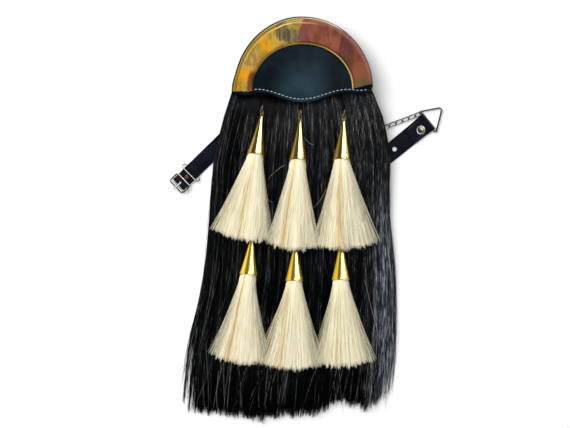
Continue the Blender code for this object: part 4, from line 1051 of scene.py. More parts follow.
def brush_spot(places, over, along, across, height):
    """A place in a brush: share along it, and share across and up from its middle."""
    tip, base, end, spread = places
    plan = end - base
    plan[2] = 0.0
    side = unit(np.array((plan[1], -plan[0], 0.0)))
    axis = unit(base - tip)
    bore = CONE_BASE - CONE_WALL
    wide, thick, sag, arch = (
        np.interp(along, BRUSH_SECTIONS[:, 0], BRUSH_SECTIONS[:, column]) for column in (1, 2, 3, 4)
    )
    mouth = np.interp(along, (0.0, 0.012, 0.04), (bore * 0.95, CONE_BASE * 0.99, CONE_BASE * 1.04))
    half = np.maximum(wide * spread, mouth)
    deep = thick * CONE_BASE
    spots = base + along[..., None] * plan + (half * across)[..., None] * side
    on_axis = base[2] + axis[2] / math.hypot(axis[0], axis[1]) * np.linalg.norm(plan) * along * (1 - sag)
    rest = hair_top(spots[..., 0], spots[..., 1]) + HAIR_SEAT + deep
    if over is not None:
        rest = rest + arch * BRUSH_ARCH * np.exp(-((spots[..., 0] - over) / BRUSH_ARCH_HALF) ** 2)
    spots[..., 2] = on_axis + (rest - on_axis) * sag + deep * height
    return spots


for number, row in enumerate(TASSELS):
    name, line = row[0], row[1]
    places = tassel_places(row)
    tip, base, end, spread = places
    axis = unit(base - tip)
    axes = frame_at(axis)
    long = float(np.linalg.norm(base - tip))
    bore = CONE_BASE - CONE_WALL
    profile = [(0.0, 0.0), (0.0, CONE_TIP * 0.7), (0.0002, CONE_TIP * 0.93), (CONE_CAP, CONE_TIP)]
    for share in np.linspace(0.04, 1.0, 16):
        bow = -0.00025 * math.sin(math.pi * share)
        up = CONE_CAP + share * (long - 3 * CONE_ROLL - CONE_CAP)
        profile.append((up, CONE_TIP + share * (CONE_BASE - CONE_TIP) + bow))
    for turn in np.linspace(-60, 90, 8):
        profile.append((long - CONE_ROLL + CONE_ROLL * math.sin(math.radians(turn)) * 0.98,
                        CONE_BASE + CONE_ROLL * math.cos(math.radians(turn)) * 0.98))
    profile += [(long, bore), ((1 - CONE_HOLLOW) * long, CONE_TIP), ((1 - CONE_HOLLOW) * long, 0.0)]
    cone = turned(profile, tip, axes, CONE_SIDES)
    flank = (cone[0] - tip) @ axes[1] / (CONE_TIP + (cone[0] - tip) @ axes[2] * (CONE_BASE - CONE_TIP) / long)
    # Painted reflection: a dark band just left of each cone's highlight and deeper gold towards its edges.
    bands = (1.15, 0.55, 0.45) if line else (1.28, 0.85, 0.55)
    stain_and_painted_light_mark = np.interp(flank, (-0.92, -0.80, 0.02, 0.10, 0.30, 0.50, 0.90), (0.5, 0.0, 0.0, 1.3, *bands))
    turn = full_turn(EYE_STEPS)
    cross = (axes[0] + axes[1]) / math.sqrt(2)
    eye = tip - axis * (EYE_RADIUS - EYE_WIRE) + EYE_RADIUS * (np.cos(turn) * cross + np.sin(turn) * axis)
    brass = low_brass if line else cone_brass
    add_piece(f"cone_shell_{name}", [cone], brass, "brass", "cone_" + name, sharp=50, tone=stain_and_painted_light_mark)
    add_piece(f"cone_eye_{name}", [wire(eye, EYE_WIRE, 12, True)], old_brass, "brass", "cone_" + name)

    over = lower_tips[number] if line == 0 else None
    around = 2 * math.pi * np.arange(BRUSH_SIDES) / BRUSH_SIDES
    rings = []
    for share in (0.60, 0.30, 0.0):
        inside = (bore - (bore - CONE_TIP) * share / CONE_HOLLOW) * 0.96
        ring = inside * (np.sin(around)[:, None] * axes[0] + np.cos(around)[:, None] * axes[1])
        rings.append(base - axis * share * long + ring)
    groove = 1 + 0.05 * np.sin(around * 11 + number)
    ragged = draw.uniform(0.0, 0.05, BRUSH_SIDES)
    for share in np.linspace(0.03, 0.965, 28):
        narrow = np.interp(share, (0.6, 0.96), (0.93, 0.89))
        wide = narrow * groove * np.cos(around)
        high = np.interp(share, (0.8, 0.96), (0.86, 0.74)) * groove * np.sin(around)
        rings.append(brush_spot(places, over, share * (1 - ragged * share ** 3), wide, high - 0.05))
    body = loft(rings)
    body_tone = np.full(len(body[0]), 0.26)
    add_piece(f"brush_body_{name}", [body], white_hair, "horsehair_white", "brush_" + name, tone=body_tone)

    count = BRUSH_HAIRS + BRUSH_WISPS
    wisp = np.arange(count) >= BRUSH_HAIRS
    aside = np.clip(draw.normal(0, 0.62, count), -1.0, 1.0) * 0.5 + draw.uniform(-0.5, 0.5, count)
    aside = np.where(wisp, np.sign(draw.normal(0, 1, count)) * draw.uniform(0.7, 1.0, count), aside)
    fan = np.clip(aside + draw.normal(0, 0.035, count), -1.0, 1.0)
    fan = np.where(wisp, fan * draw.uniform(1.02, 1.34 + 0.12 * line, count), fan)
    upper = draw.random(count) < 0.86
    surface = np.sqrt(np.maximum(1 - np.minimum(np.abs(aside), 1) ** 2, 0.02))
    height = np.where(upper, surface * draw.uniform(0.80, 1.0, count), -surface * draw.uniform(0.3, 1.0, count))
    tuft = np.floor((fan + 1.3) * 15).astype(int) % BRUSH_TUFTS
    tuft_reach = draw.normal(0, 0.011, BRUSH_TUFTS)[tuft]
    reach = 1.004 - 0.035 * fan ** 2 + tuft_reach - np.abs(draw.normal(0, 0.016, count))
    reach = np.where(draw.random(count) < 0.05, reach + 0.02, reach)
    share = np.append(np.linspace(0, 0.978, BRUSH_POINTS - 1), 1.0)[None, :]
    along = reach[:, None] * share
    sideways = aside[:, None] + (fan - aside)[:, None] * share
    sideways = sideways * (0.95 + 0.05 * share)
    bend = draw.normal(0, 0.0006, count)[:, None]
    bend = bend * np.sin(math.pi * share * draw.uniform(0.7, 1.6, count)[:, None])
    paths = brush_spot(places, over, along, sideways, height[:, None] * np.ones_like(share))
    paths[..., 0] += bend
    paths[..., 2] += draw.uniform(-0.0002, 0.0005, count)[:, None] * share
    start = base - axis * 0.006 + (axes[0] * height[:, None] + axes[1] * -aside[:, None]) * bore * 0.80
    paths = np.concatenate([start[:, None], paths], 1)
    streaks = np.sin(np.arange(BRUSH_TUFTS) * 2.1 + number * 1.7) * 0.10 + draw.normal(0, 0.07, BRUSH_TUFTS)
    tone = 0.20 + streaks[tuft] + draw.normal(0, 0.10, count) + (draw.random(count) < 0.08) * 0.30
    band, depth = TAN_BANDS[name]
    tone = tone + depth * np.exp(-((fan - band) / 0.15) ** 2) - 0.05 * (fan < -0.3)
    paler = np.interp(np.linspace(0, 1, BRUSH_POINTS + 1), (0.80, 1.0), (0.0, 0.15))
    tone = np.clip(tone, 0, 1)[:, None] - paler
    thick = BRUSH_RADIUS * draw.uniform(0.65, 1.4, count) * np.where(wisp, 0.55, 1.0)
    add_strands(f"brush_hairs_{name}", paths, thick, tone, white_hair, "horsehair_white",
                "brush_" + name, tips=0.80)

LOOSE_RADIUS = 0.00013
LOOSE_HAIRS = (
    # from, by way of, to: x and y on the black hair
    ((-0.0200, -0.0900), (-0.0320, -0.0965), (-0.0405, -0.1075)),
    ((0.0284, -0.1173), (0.0240, -0.1300), (0.0131, -0.1406)),
    ((-0.0410, -0.1287), (-0.0385, -0.1330), (-0.0335, -0.1336)),
    ((0.0023, -0.0573), (0.0080, -0.0660), (0.0146, -0.0665)),
    ((-0.0080, -0.2350), (-0.0130, -0.2600), (-0.0120, -0.2800)),
    ((0.0740, -0.2250), (0.0830, -0.2650), (0.0920, -0.2960)),
    ((-0.0900, -0.2700), (-0.0990, -0.2900), (-0.1040, -0.3080)),
)
share = np.linspace(0, 1, 14)[:, None]
paths = np.array([(1 - share) ** 2 * a + 2 * share * (1 - share) * b + share ** 2 * c
                  for a, b, c in (np.array(hair) for hair in LOOSE_HAIRS)])
paths = np.concatenate([paths, hair_top(paths[..., :1], paths[..., 1:]) + 0.0012], -1)
many = len(paths)
add_strands("loose_cream_hairs", paths, np.full(many, LOOSE_RADIUS), np.full(many, 0.4), white_hair,
            "horsehair_white")


# Tassel chains: fine links of dull brass wire from a tab sewn under the panel down to the eye of each
# upper tassel. Each lower tassel hangs by one link from a tab on the hair, hidden by the brush above.
CLEARANCE = 0.0003
SQUARE = ((-1, -1), (1, -1), (1, 1), (-1, 1))
LINK_PITCH = 0.0055
LINK_WIDTH = 0.0044
LINK_WIRE = 0.00055
LINK_OVERLAP = 0.35
CHAIN_TAB = 0.0048
TAB_THICK = 0.0010
TAB_WIDTH = 0.0025
TAB_SEWN_WIDTH = 0.00396
TAB_END = 0.00121
HANGER_LENGTH = 0.0072
EYE_SHIFT = EYE_RADIUS - EYE_WIRE
EYE_HOLD = EYE_SHIFT + EYE_RADIUS - EYE_WIRE - CLEARANCE - 2 * LINK_WIRE + LINK_OVERLAP * LINK_WIRE


def link(place, along, roll, pitch, width, thick, twist=0.0, steps=28, sides=10):
    """One oval link, its length along a direction; a twisted one turns as it goes."""
    axes = frame_at(along)
    end = width / 2 - thick
    straight = (pitch + 2 * thick) / 2 - end - LINK_OVERLAP * thick
    path = []
    for k in range(steps):
        turn = 2 * math.pi * (k + 0.5) / steps
        up = end * math.sin(turn) + math.copysign(straight, math.sin(turn))
        angle = math.radians(roll + twist * up / (end + straight))
        sideways = math.cos(angle) * axes[0] + math.sin(angle) * axes[1]
        path.append(np.asarray(place) + end * math.cos(turn) * sideways + up * axes[2])
    return wire(path, thick, sides, True)


def linked(start, end, count, width, thick, first_roll, twist=0.0):
    """Links between two points, each turned a quarter from the last unless they are twisted."""
    start, end = np.asarray(start, float), np.asarray(end, float)
    run = end - start
    pitch = float(np.linalg.norm(run)) / count
    parts = []
    for k in range(count):
        roll = first_roll if twist or k % 2 == 0 else first_roll + 90
        parts.append(link(start + run * (k + 0.5) / count, run, roll, pitch, width, thick, twist))
    return parts


def tab(outer, inner, width, thick, rounding=CLEARANCE):
    """A small flat tab between two places."""
    outer, inner = np.asarray(outer, float), np.asarray(inner, float)
    along = unit(inner - outer)
    side = unit(np.cross(along, (0, 0, 1.0)))
    up = np.cross(side, along)
    rings = []
    for place, small in ((outer, rounding), (outer + along * rounding, 0.0),
                         (inner - along * rounding, 0.0), (inner, rounding)):
        rings.append([place + side * a * (width / 2 - small) + up * b * (thick / 2 - small)
                      for a, b in SQUARE])
    return loft(rings)


for row in TASSELS:
    name, line = row[0], row[1]
    side_name = name.split("_")[1]
    tip, base, _, _ = tassel_places(row)
    axis = unit(base - tip)
    far = tip - axis * EYE_HOLD
    if line == 0:
        edge = float(hem_y(tip[0])) - 0.5 * LINK_PITCH
        clear = HAIR_SEAT + LINK_WIDTH / 2 * math.sin(math.radians(45)) + LINK_WIRE
        start = np.array((tip[0], edge, hair_top(tip[0], edge) + clear))
        count = max(2, round(float(np.linalg.norm(start - far)) / LINK_PITCH))
        parts = linked(start, far, count, LINK_WIDTH, LINK_WIRE, 60 if count % 2 else -30)
        low = PANEL_LOW - CLEARANCE - TAB_THICK / 2
        knee = np.array((tip[0], edge + 0.5 * LINK_PITCH - CLEARANCE, low))
        add_piece(f"chain_ends_{side_name}", parts[-2:], old_brass, "brass", f"tassel_chain_{side_name}")
        parts = parts[:-2]
        parts.append(tab(start - (0, TAB_END, 0), knee, TAB_WIDTH, TAB_THICK))
        sewn = (tip[0], edge + 0.5 * LINK_PITCH + CHAIN_TAB, low)
        parts.append(tab(knee - (0, CLEARANCE, 0), sewn, TAB_SEWN_WIDTH, TAB_THICK))
        # Painted shade: all links but the last two, and the tabs, are near black for the shade under the panel
        # and in the hair.
        add_piece(f"chain_links_{side_name}", parts, painted_shade_brass, "brass", f"tassel_chain_{side_name}")
    else:
        start = far + (0, HANGER_LENGTH, 0)
        start[2] = hair_top(start[0], start[1]) + HAIR_SEAT + LINK_WIDTH / 2
        inner = start + (0, CHAIN_TAB, 0)
        inner[2] = hair_top(inner[0], inner[1]) + HAIR_SEAT + TAB_THICK / 2 + CLEARANCE
        parts = linked(start, far, 1, LINK_WIDTH, LINK_WIRE, -45)
        parts.append(tab(start - (0, TAB_END, 0), inner, TAB_WIDTH, TAB_THICK))
        add_piece(f"hanger_link_{side_name}", parts, old_brass, "brass", f"lower_hanger_{side_name}")


# Left strap end: a strip of strap leather, doubled round a wire loop that is soldered to a plate on
# the pouch's side, and doubled again round the bar of a small steel buckle, inside a wire keeper.
STRAP_WIDTH = 0.0200
STRAP_LEATHER = 0.0016
FOLD_LENGTH = 0.0270
FOLD_GAP = 0.0002
RING_WIRE = 0.0010
FOLD_RADIUS = RING_WIRE + CLEARANCE + STRAP_LEATHER
FOLD_MIDDLE = FOLD_RADIUS - STRAP_LEATHER / 2
LEFT_STRAP_LENGTH = 0.0950
LEFT_STRAP_ANGLE = 224.3
BUCKLE_WIDTH = 0.0235
BUCKLE_LENGTH = 0.0140
BUCKLE_WIRE = 0.0010
BUCKLE_BEND = 0.0022
BAR_RADIUS = 0.00097
ROLLER_RADIUS = 0.0015
PRONG_WIRE = 0.0007
PRONG_OVERHANG = 0.0035
KEEPER_WIRE = 0.0007
KEEPER_FROM_BAR = 0.0180
KEEPER_SLANT = 0.0028
KEEPER_EAR = 0.0030
STUD_RADIUS = 0.0022
STUD_HEIGHT = 0.0009
STUD_FROM_BAR = 0.0105
SIDE_BAR_LENGTH = 0.0270
SIDE_BAR_OUT = 0.0140
SIDE_BAR_Y = -0.0447
SIDE_BAR_FEET = 0.0270
SIDE_BAR_RISE = 0.0030
SIDE_BAR_PLATE = 0.0310
PLATE_THICK = 0.0012
PLATE_HEIGHT = 0.0100
STRAP_THREAD = (0.0028, 0.0021, 0.00032)
THREAD_RISE = 2 * STRAP_LEATHER + 0.00008
SLOT_ROOM = 0.0006
NEEDLE_RADIUS = 0.00088
UP = np.array((0.0, 0.0, 1.0))


def plan_direction(degrees):
    turn = math.radians(degrees)
    return np.array((math.cos(turn), math.sin(turn), 0.0))


def eased(points, count):
    """Evenly spaced places on a path with its corners rounded off."""
    points = np.asarray(points, float)
    for _ in range(3):
        first, second = points[:-1], points[1:]
        cut = np.stack([first * 0.75 + second * 0.25, first * 0.25 + second * 0.75], 1)
        points = np.concatenate([points[:1], cut.reshape(-1, points.shape[1]), points[-1:]])
    run = np.concatenate([[0.0], np.cumsum(np.linalg.norm(np.diff(points, axis=0), axis=1))])
    spots = np.linspace(0, run[-1], count)
    return np.stack([np.interp(spots, run, points[:, k]) for k in range(points.shape[1])], -1)


def strip_profile(half, thick):
    """Cut across a strap: rounded edges and a shallow creased line inside each."""
    crease, groove, soft = 0.0016, 0.00016, 0.00045
    upper = [
        (-half, 0.0), (-half + 0.00008, thick / 2 - soft), (-half + soft, thick / 2 - 0.00006),
        (-half + crease - 0.0005, thick / 2), (-half + crease, thick / 2 - groove),
        (-half + crease + 0.0005, thick / 2), (0.0, thick / 2),
    ]
    upper += [(-a, b) for a, b in upper[-2::-1]]
    return upper + [(a, -b) for a, b in upper[-2:0:-1]]


def strip(origin, along, line, half, thick=STRAP_LEATHER):
    """A strap that follows a line of (distance, height, half-width share); it may fold over on itself."""
    side = np.cross(UP, along)
    line = np.asarray(line, float)
    step = unit(np.concatenate([line[1:, :2], line[-1:, :2]]) - np.concatenate([line[:1, :2], line[:-1, :2]]))
    rings = []
    for (distance, height, share), (forward, rise) in zip(line, step):
        out = -rise * along + forward * UP
        middle = np.array((origin[0], origin[1], 0.0)) + along * distance + UP * height
        rings.append([middle + side * a * share + out * b for a, b in strip_profile(half, thick)])
    return loft(rings)


def folded(bar, height, leave=145):
    """Line of a strap round a bar: under it, up its far side, over the top and down again."""
    turns = np.radians(np.linspace(-90, leave, 22))
    return [(bar + FOLD_MIDDLE * math.cos(t), height + FOLD_MIDDLE * math.sin(t), 1.0) for t in turns]


def cut_through(piece, parts):
    """Take holes out of a piece."""
    mesh = mesh_of("drill", parts)
    drill = bpy.data.objects.new("drill", mesh)
    bpy.context.scene.collection.objects.link(drill)
    change = piece.modifiers.new("holes", "BOOLEAN")
    change.operation, change.solver, change.object = "DIFFERENCE", "EXACT", drill
    change.use_self = True
    bpy.context.view_layer.update()
    done = bpy.data.meshes.new_from_object(piece.evaluated_get(bpy.context.evaluated_depsgraph_get()))
    piece.modifiers.clear()
    piece.data = done
    done.set_sharp_from_angle(angle=math.radians(40))
    bpy.data.objects.remove(drill)
    bpy.data.meshes.remove(mesh)


def fold_threads(aside):
    """A row of thread along each edge of the strap's fold."""
    parts = []
    for hand in (-1, 1):
        row = [flat_fold + along * d + side * hand * aside + UP * THREAD_RISE
               for d in np.linspace(0.0095, 0.0255, 20)]
        parts += threads(row, *STRAP_THREAD)
    return parts


along = plan_direction(LEFT_STRAP_ANGLE)
side = np.cross(UP, along)
fold = np.array((-POUCH_WIDTH / 2 - SIDE_BAR_OUT, SIDE_BAR_Y, FOLD_RADIUS))
flat_fold = fold * (1, 1, 0)
bar = LEFT_STRAP_LENGTH
keeper_at = bar - KEEPER_FROM_BAR
lift = 2 * KEEPER_WIRE + CLEARANCE
double = 2 * STRAP_LEATHER
bar_height = lift + double + CLEARANCE + BUCKLE_WIRE
layer = STRAP_LEATHER / 2
flap = layer * 3 + FOLD_GAP
line = [(FOLD_LENGTH, flap, 1.0), (FOLD_LENGTH * 0.7, flap, 1.0), (0.0075, flap, 1.0)]
line += [(-distance, height, share) for distance, height, share in folded(0.0, FOLD_RADIUS)][::-1]
line += [(0.006, layer, 1.0), (0.030, layer, 1.0), (keeper_at - 0.5 * KEEPER_FROM_BAR, layer, 1.0),
         (keeper_at - 0.15 * KEEPER_FROM_BAR, lift + layer, 1.0), (keeper_at, lift + layer, 0.99),
         (bar - 0.0060, lift + layer, 0.94)]
line += [(d, h, 0.96) for d, h, _ in folded(bar, bar_height, 140)]
line += [(bar - 0.0049, lift + layer * 3, 0.95), (keeper_at, lift + layer * 3, 0.99),
         (keeper_at - 0.26 * KEEPER_FROM_BAR, lift + layer * 3 - 0.0004, 1.0)]
strap_leather = leather_finish("strap_leather", (0.0020, 0.0026, 0.0060), (0.009, 0.011, 0.026), 0.38, 1500.0)
strap = add_piece("strap_leather_left", [strip(fold, along, eased(line, 210), STRAP_WIDTH / 2 - 0.0004)],
                  strap_leather, "leather_black", "strap_left")
centre = flat_fold + along * bar + UP * bar_height
slot_low = bar_height - BUCKLE_WIRE - CLEARANCE - 2 * PRONG_WIRE - SLOT_ROOM
slot_half = PRONG_WIRE + SLOT_ROOM
slot = []
for distance in (-0.0032, 0.0044):
    slot.append([flat_fold + along * (bar + distance) + side * a * slot_half + UP * z
                 for a, z in ((-1, slot_low), (1, slot_low), (1, 0.016), (-1, 0.016))])
cut_through(strap, [loft(slot)])

ends = [flat_fold + along * 0.0253 + side * w + UP * THREAD_RISE for w in np.linspace(-0.0070, 0.0070, 14)]
strap_threads = fold_threads(0.0078) + threads(ends, *STRAP_THREAD)
add_piece("strap_stitches_left", strap_threads, dark_thread, "leather_black")

prong_steel = polished_finish("prong_steel", (0.90, 0.88, 0.84), (0.58, 0.56, 0.53), 0.28, 0.5, 140.0,
                              metal=0.6)
bright_steel = polished_finish("bright_steel", (0.62, 0.60, 0.57), (0.28, 0.27, 0.26), 0.22, 0.7, 160.0)
# Its extra pair of colours is painted shade for the roller.
buckle_steel = polished_finish("buckle_steel", (0.62, 0.60, 0.57), (0.28, 0.27, 0.26), 0.22, 0.7, 160.0,
                               stain_and_painted_light=((0.16, 0.15, 0.14), (0.030, 0.028, 0.026)))
wall = -POUCH_WIDTH / 2 - CLEARANCE - PLATE_THICK
level = fold[1] + SIDE_BAR_RISE
near, away = fold + side * SIDE_BAR_LENGTH / 2, fold - side * SIDE_BAR_LENGTH / 2
feet = [np.array((wall + 0.0004, level + hand * SIDE_BAR_FEET / 2, fold[2])) for hand in (-1, 1)]
if np.linalg.norm(near - feet[0]) > np.linalg.norm(near - feet[1]):
    feet = feet[::-1]


def side_plate(x, y, length, thick=PLATE_THICK, tall=PLATE_HEIGHT, soft=0.0004):
    """Small plate with eased edges, flat against the pouch's side."""
    rings = []
    for across, small in ((-0.5, soft), (-0.25, 0.0), (0.25, 0.0), (0.5, soft)):
        rings.append([(x + across * thick, y + a * (length / 2 - small),
                       CLEARANCE + tall / 2 + b * (tall / 2 - small))
                      for a, b in SQUARE])
    return loft(rings)


loop_path = eased([feet[0], near, away, feet[1]], 40)
plate = side_plate(wall + PLATE_THICK / 2, level, SIDE_BAR_PLATE)
add_piece("side_bar", [plate, wire(loop_path, RING_WIRE, 14)], bright_steel, "steel", "side_bar_left")

half = BUCKLE_WIDTH / 2 - BUCKLE_WIRE
reach = BUCKLE_LENGTH / 2 - BUCKLE_WIRE
path = []
for a, w, first in ((1, 1, 0), (-1, 1, 90), (-1, -1, 180), (1, -1, 270)):
    for turn in np.radians(np.linspace(first, first + 90, 8)):
        path.append(centre + along * (a * (reach - BUCKLE_BEND) + BUCKLE_BEND * math.cos(turn))
                    + side * (w * (half - BUCKLE_BEND) + BUCKLE_BEND * math.sin(turn)))
middle_bar = [centre - side * half, centre, centre + side * half]
roller = [centre + along * reach + side * w * (half - BUCKLE_BEND) for w in (-1.0, -0.97, 0.97, 1.0)]
parts = [wire(path, BUCKLE_WIRE, 14, True), wire(middle_bar, BAR_RADIUS, 14), wire(roller, ROLLER_RADIUS, 32)]
# Painted shade: the roller is painted dark over its top and bottom, where the far bar of the frame lies in
# shade.
outside = (parts[2][0] - centre - along * reach) @ along / ROLLER_RADIUS
painted_roller_shade = np.interp(outside, (-0.40, -0.20, 0.62, 0.82), (0.0, 1.0, 1.0, 0.0))
painted_roller_shade = np.concatenate([np.zeros(len(parts[0][0]) + len(parts[1][0])), painted_roller_shade])
add_piece("buckle_wire_frame", parts, buckle_steel, "steel", "buckle_frame", tone=painted_roller_shade)

ring_radius = BUCKLE_WIRE + CLEARANCE + PRONG_WIRE
turns = np.radians(np.linspace(0, 360, 28, endpoint=False))
ring = [centre + ring_radius * (math.cos(t) * along + math.sin(t) * UP) for t in turns]
over_roller = UP * (ROLLER_RADIUS + CLEARANCE + PRONG_WIRE)
needle = eased([centre + UP * ring_radius, centre + along * reach * 0.5 + UP * (ring_radius + CLEARANCE),
                centre + along * reach + over_roller,
                centre + along * (reach + PRONG_OVERHANG) + over_roller * 0.7], 24)
parts = [wire(ring, PRONG_WIRE, 12, True), wire(needle, NEEDLE_RADIUS, 12)]
add_piece("buckle_tongue", parts, prong_steel, "steel", "buckle_prong")

straight = STRAP_WIDTH / 2 + CLEARANCE
low, high = KEEPER_WIRE, lift + double + CLEARANCE + KEEPER_WIRE
path = []
for hand in (1, -1):
    for turn in np.linspace(-math.pi / 2, math.pi / 2, 16):
        out = straight + KEEPER_EAR * math.cos(turn)
        rise = (low + high) / 2 + hand * (high - low) / 2 * math.sin(turn)
        slant = hand * KEEPER_SLANT * math.sin(turn)
        path.append(flat_fold + along * (keeper_at + slant) + side * hand * out + UP * rise)
add_piece("keeper_wire", [wire(path, KEEPER_WIRE, 12, True)], bright_steel, "steel", "keeper")

stud_foot = flat_fold + along * (bar - STUD_FROM_BAR) + UP * (lift + double + CLEARANCE)
profile = [(0.0, 0.0), (0.0, STUD_RADIUS)]
profile += [(STUD_HEIGHT * math.sin(t), STUD_RADIUS * (0.82 + 0.18 * math.cos(t)) if t < 0.9 else
             STUD_RADIUS * 0.93 * math.cos((t - 0.9) / (math.pi / 2 - 0.9) * math.pi / 2))
            for t in np.linspace(0.15, math.pi / 2, 10)]
copper = polished_finish("stud_copper", (0.66, 0.40, 0.30), (0.36, 0.19, 0.13), 0.30, 0.8, 500.0)
add_piece("keeper_stud_head", [turned(profile, stud_foot, np.eye(3), 32)], copper, "copper", "keeper_stud")


# Right strap end: the same leather folded round a bent triangle of steel wire and riveted through both
# layers, with a punched hole and a round tail. A twisted steel chain ties the ring to the pouch.
RING_BASE = 0.0322
RING_HEIGHT = 0.0252
RING_SKEW = 0.0024
RING_BASE_BEND = 0.0013
RING_APEX_BEND = 0.0030
RIGHT_STRAP_LENGTH = 0.0960
RIGHT_STRAP_ANGLE = 219.2
RIGHT_FOLD = np.array((0.1484, -0.0390, FOLD_RADIUS))
STRAP_HOLE = 0.00275
HOLE_FROM_FOLD = 0.0500
RIVET_RADIUS = 0.0053
RIVET_HEIGHT = 0.0022
RIVET_SHANK = 0.0015
RIVET_FROM_FOLD = 0.0120
RIVET_ASIDE = 0.0022
RIVET_HEAD = (
    # share of the height, share of the radius
    (0.06, 1.0), (0.22, 1.0), (0.36, 0.975), (0.45, 0.92), (0.48, 0.84), (0.44, 0.76), (0.38, 0.70),
    (0.42, 0.64), (0.56, 0.55), (0.72, 0.44), (0.86, 0.32), (0.95, 0.19), (0.99, 0.08), (1.0, 0.0),
)
STRAP_LINK_PITCH = 0.0080
STRAP_LINK_WIDTH = 0.0058
STRAP_LINK_WIRE = 0.00075
LOOP_RADIUS = 0.0021
LOOP_WIRE = 0.0007
RIGHT_LOOP_Y = -0.0570

along = plan_direction(RIGHT_STRAP_ANGLE)
side = np.cross(UP, along)
flat_fold = RIGHT_FOLD * (1, 1, 0)
tail = RIGHT_STRAP_LENGTH - STRAP_WIDTH / 2
line = [(FOLD_LENGTH, flap, 1.06), (FOLD_LENGTH * 0.6, flap, 1.08), (0.0078, flap, 1.12)]
line += [(-distance, height, 1.17) for distance, height, _ in folded(0.0, FOLD_RADIUS)][::-1]
line += [(0.006, layer, 1.13), (FOLD_LENGTH * 0.6, layer, 1.08), (tail * 0.7, layer, 1.05), (tail, layer, 1.0)]
line = eased(line, 130).tolist()
for turn in np.radians(np.linspace(8, 86, 16)):
    line.append((tail + STRAP_WIDTH / 2 * math.sin(turn), layer, math.cos(turn)))
strap = add_piece("strap_leather_right", [strip(RIGHT_FOLD, along, line, STRAP_WIDTH / 2)], strap_leather,
                  "leather_black", "strap_right")
hole = flat_fold + along * HOLE_FROM_FOLD
shank = flat_fold + along * RIVET_FROM_FOLD + side * RIVET_ASIDE
across_hole = [turned(((-0.01, 0.0), (-0.01, size), (0.02, size), (0.02, 0.0)), spot, np.eye(3), 40)
               for spot, size in ((hole, STRAP_HOLE), (shank, RIVET_SHANK + 0.0002))]
cut_through(strap, across_hole)

add_piece("strap_stitches_right", fold_threads(0.0080), dark_thread, "leather_black")


def rivet_finish():
    """Steel rivet: a bright rolled rim round a dull brassy crown with a faint bluish film."""
    material, ink, shader, place = new_finish("rivet_steel", {"Metallic": 1.0})
    away = ink.distance(place, tuple(shank * (1, 1, 0) + UP * 0.0052))
    cloud = ink.noise(place, 420.0, 4.0, 0.6, 0.8)
    crown = cloud.rise(0.35, 0.7).tint((0.34, 0.29, 0.16), (0.16, 0.14, 0.17))
    rim = (away + (cloud - 0.5) * 0.0008).rise(0.0034, 0.0040)
    ink.join(rim.tint(crown, (0.74, 0.74, 0.76)), shader["Base Color"])
    ink.join(0.34 - 0.06 * rim + 0.10 * cloud, shader["Roughness"])
    ink.join(ink.bump(cloud, 0.0002, 0.3), shader["Normal"])
    return material


head = double + CLEARANCE
profile = [(CLEARANCE, 0.0), (CLEARANCE, RIVET_SHANK), (head, RIVET_SHANK), (head, RIVET_RADIUS - 0.0002)]
profile += [(head + RIVET_HEIGHT * up, RIVET_RADIUS * out) for up, out in RIVET_HEAD]
add_piece("strap_rivet_head", [turned(profile, shank, np.eye(3), 48)], rivet_finish(), "steel", "strap_rivet")

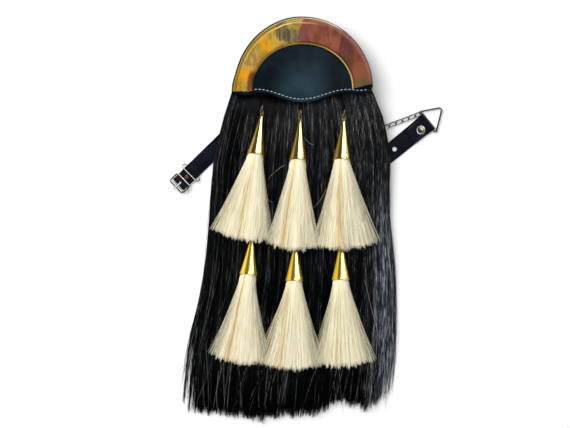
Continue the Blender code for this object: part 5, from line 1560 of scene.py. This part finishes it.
outward = -along
ring_side = np.cross(UP, outward)
corners = np.array((
    RIGHT_FOLD + ring_side * RING_BASE / 2,
    RIGHT_FOLD - ring_side * RING_BASE / 2,
    RIGHT_FOLD + outward * RING_HEIGHT + ring_side * RING_SKEW,
))
path = []
for k in range(3):
    here = corners[k]
    bend = RING_APEX_BEND if k == 2 else RING_BASE_BEND
    before, after = unit(corners[k - 1] - here), unit(corners[(k + 1) % 3] - here)
    half_angle = math.acos(float(before.dot(after))) / 2
    cut = bend / math.tan(half_angle)
    inward = unit(before + after)
    bend_centre = here + inward * bend / math.sin(half_angle)
    across = unit(after - before)
    for turn in (math.pi / 2 - half_angle) * np.linspace(-1, 1, 9):
        path.append(bend_centre + bend * (across * math.sin(turn) - inward * math.cos(turn)))
    if k == 0:
        hook_corner, hook_inward, hook_angle = here, inward, half_angle
dark_steel = polished_finish("dark_steel", (0.17, 0.16, 0.15), (0.05, 0.046, 0.042), 0.28, 0.9, 220.0)
chain_steel = polished_finish("chain_steel", (0.30, 0.295, 0.28), (0.055, 0.052, 0.050), 0.24, 1.0, 420.0)
full_path = []
for k, spot in enumerate(path):
    following = path[(k + 1) % len(path)]
    gap = float(np.linalg.norm(following - spot))
    pieces = max(1, round(gap / 0.003))
    full_path += [spot + (following - spot) * step / pieces for step in range(pieces)]
add_piece("triangle_ring_wire", [wire(full_path, RING_WIRE, 14, True)], dark_steel, "dark_steel",
          "triangle_ring")

loop_half = np.interp((POUCH_MOUTH - RIGHT_LOOP_Y) / POUCH_LENGTH, POUCH_SECTIONS[:, 0], POUCH_SECTIONS[:, 1])
loop_half *= POUCH_WIDTH / 2
loop = np.array((loop_half + CLEARANCE + PLATE_THICK + LOOP_RADIUS, RIGHT_LOOP_Y, FOLD_RADIUS))
foot = loop[0] - LOOP_RADIUS - PLATE_THICK / 2
path = [np.array((foot, loop[1], loop[2] - LOOP_RADIUS))]
path += [loop + LOOP_RADIUS * (math.cos(t) * np.array((1.0, 0, 0)) + math.sin(t) * UP)
         for t in np.linspace(-math.pi / 2, math.pi / 2, 14)]
path.append(np.array((foot, loop[1], loop[2] + LOOP_RADIUS)))
add_piece("side_loop", [side_plate(foot, loop[1], PLATE_HEIGHT), wire(path, LOOP_WIRE, 12)],
          bright_steel, "steel", "side_loop_right")

hook = hook_corner + hook_inward * (RING_WIRE + CLEARANCE + STRAP_LINK_WIRE) / math.sin(hook_angle)
held = loop + np.array((LOOP_RADIUS, 0, 0))
chain_along = unit(held - hook)
inset = (1 - LINK_OVERLAP) * STRAP_LINK_WIRE
start = hook + chain_along * inset
end = held + chain_along * (LOOP_WIRE + CLEARANCE + STRAP_LINK_WIRE - inset)
count = 2 * round(float(np.linalg.norm(start - end)) / STRAP_LINK_PITCH / 2)
links = linked(start, end, count, STRAP_LINK_WIDTH, STRAP_LINK_WIRE, 90, 42.0)
add_piece("strap_chain_links", links, chain_steel, "steel", "strap_chain")
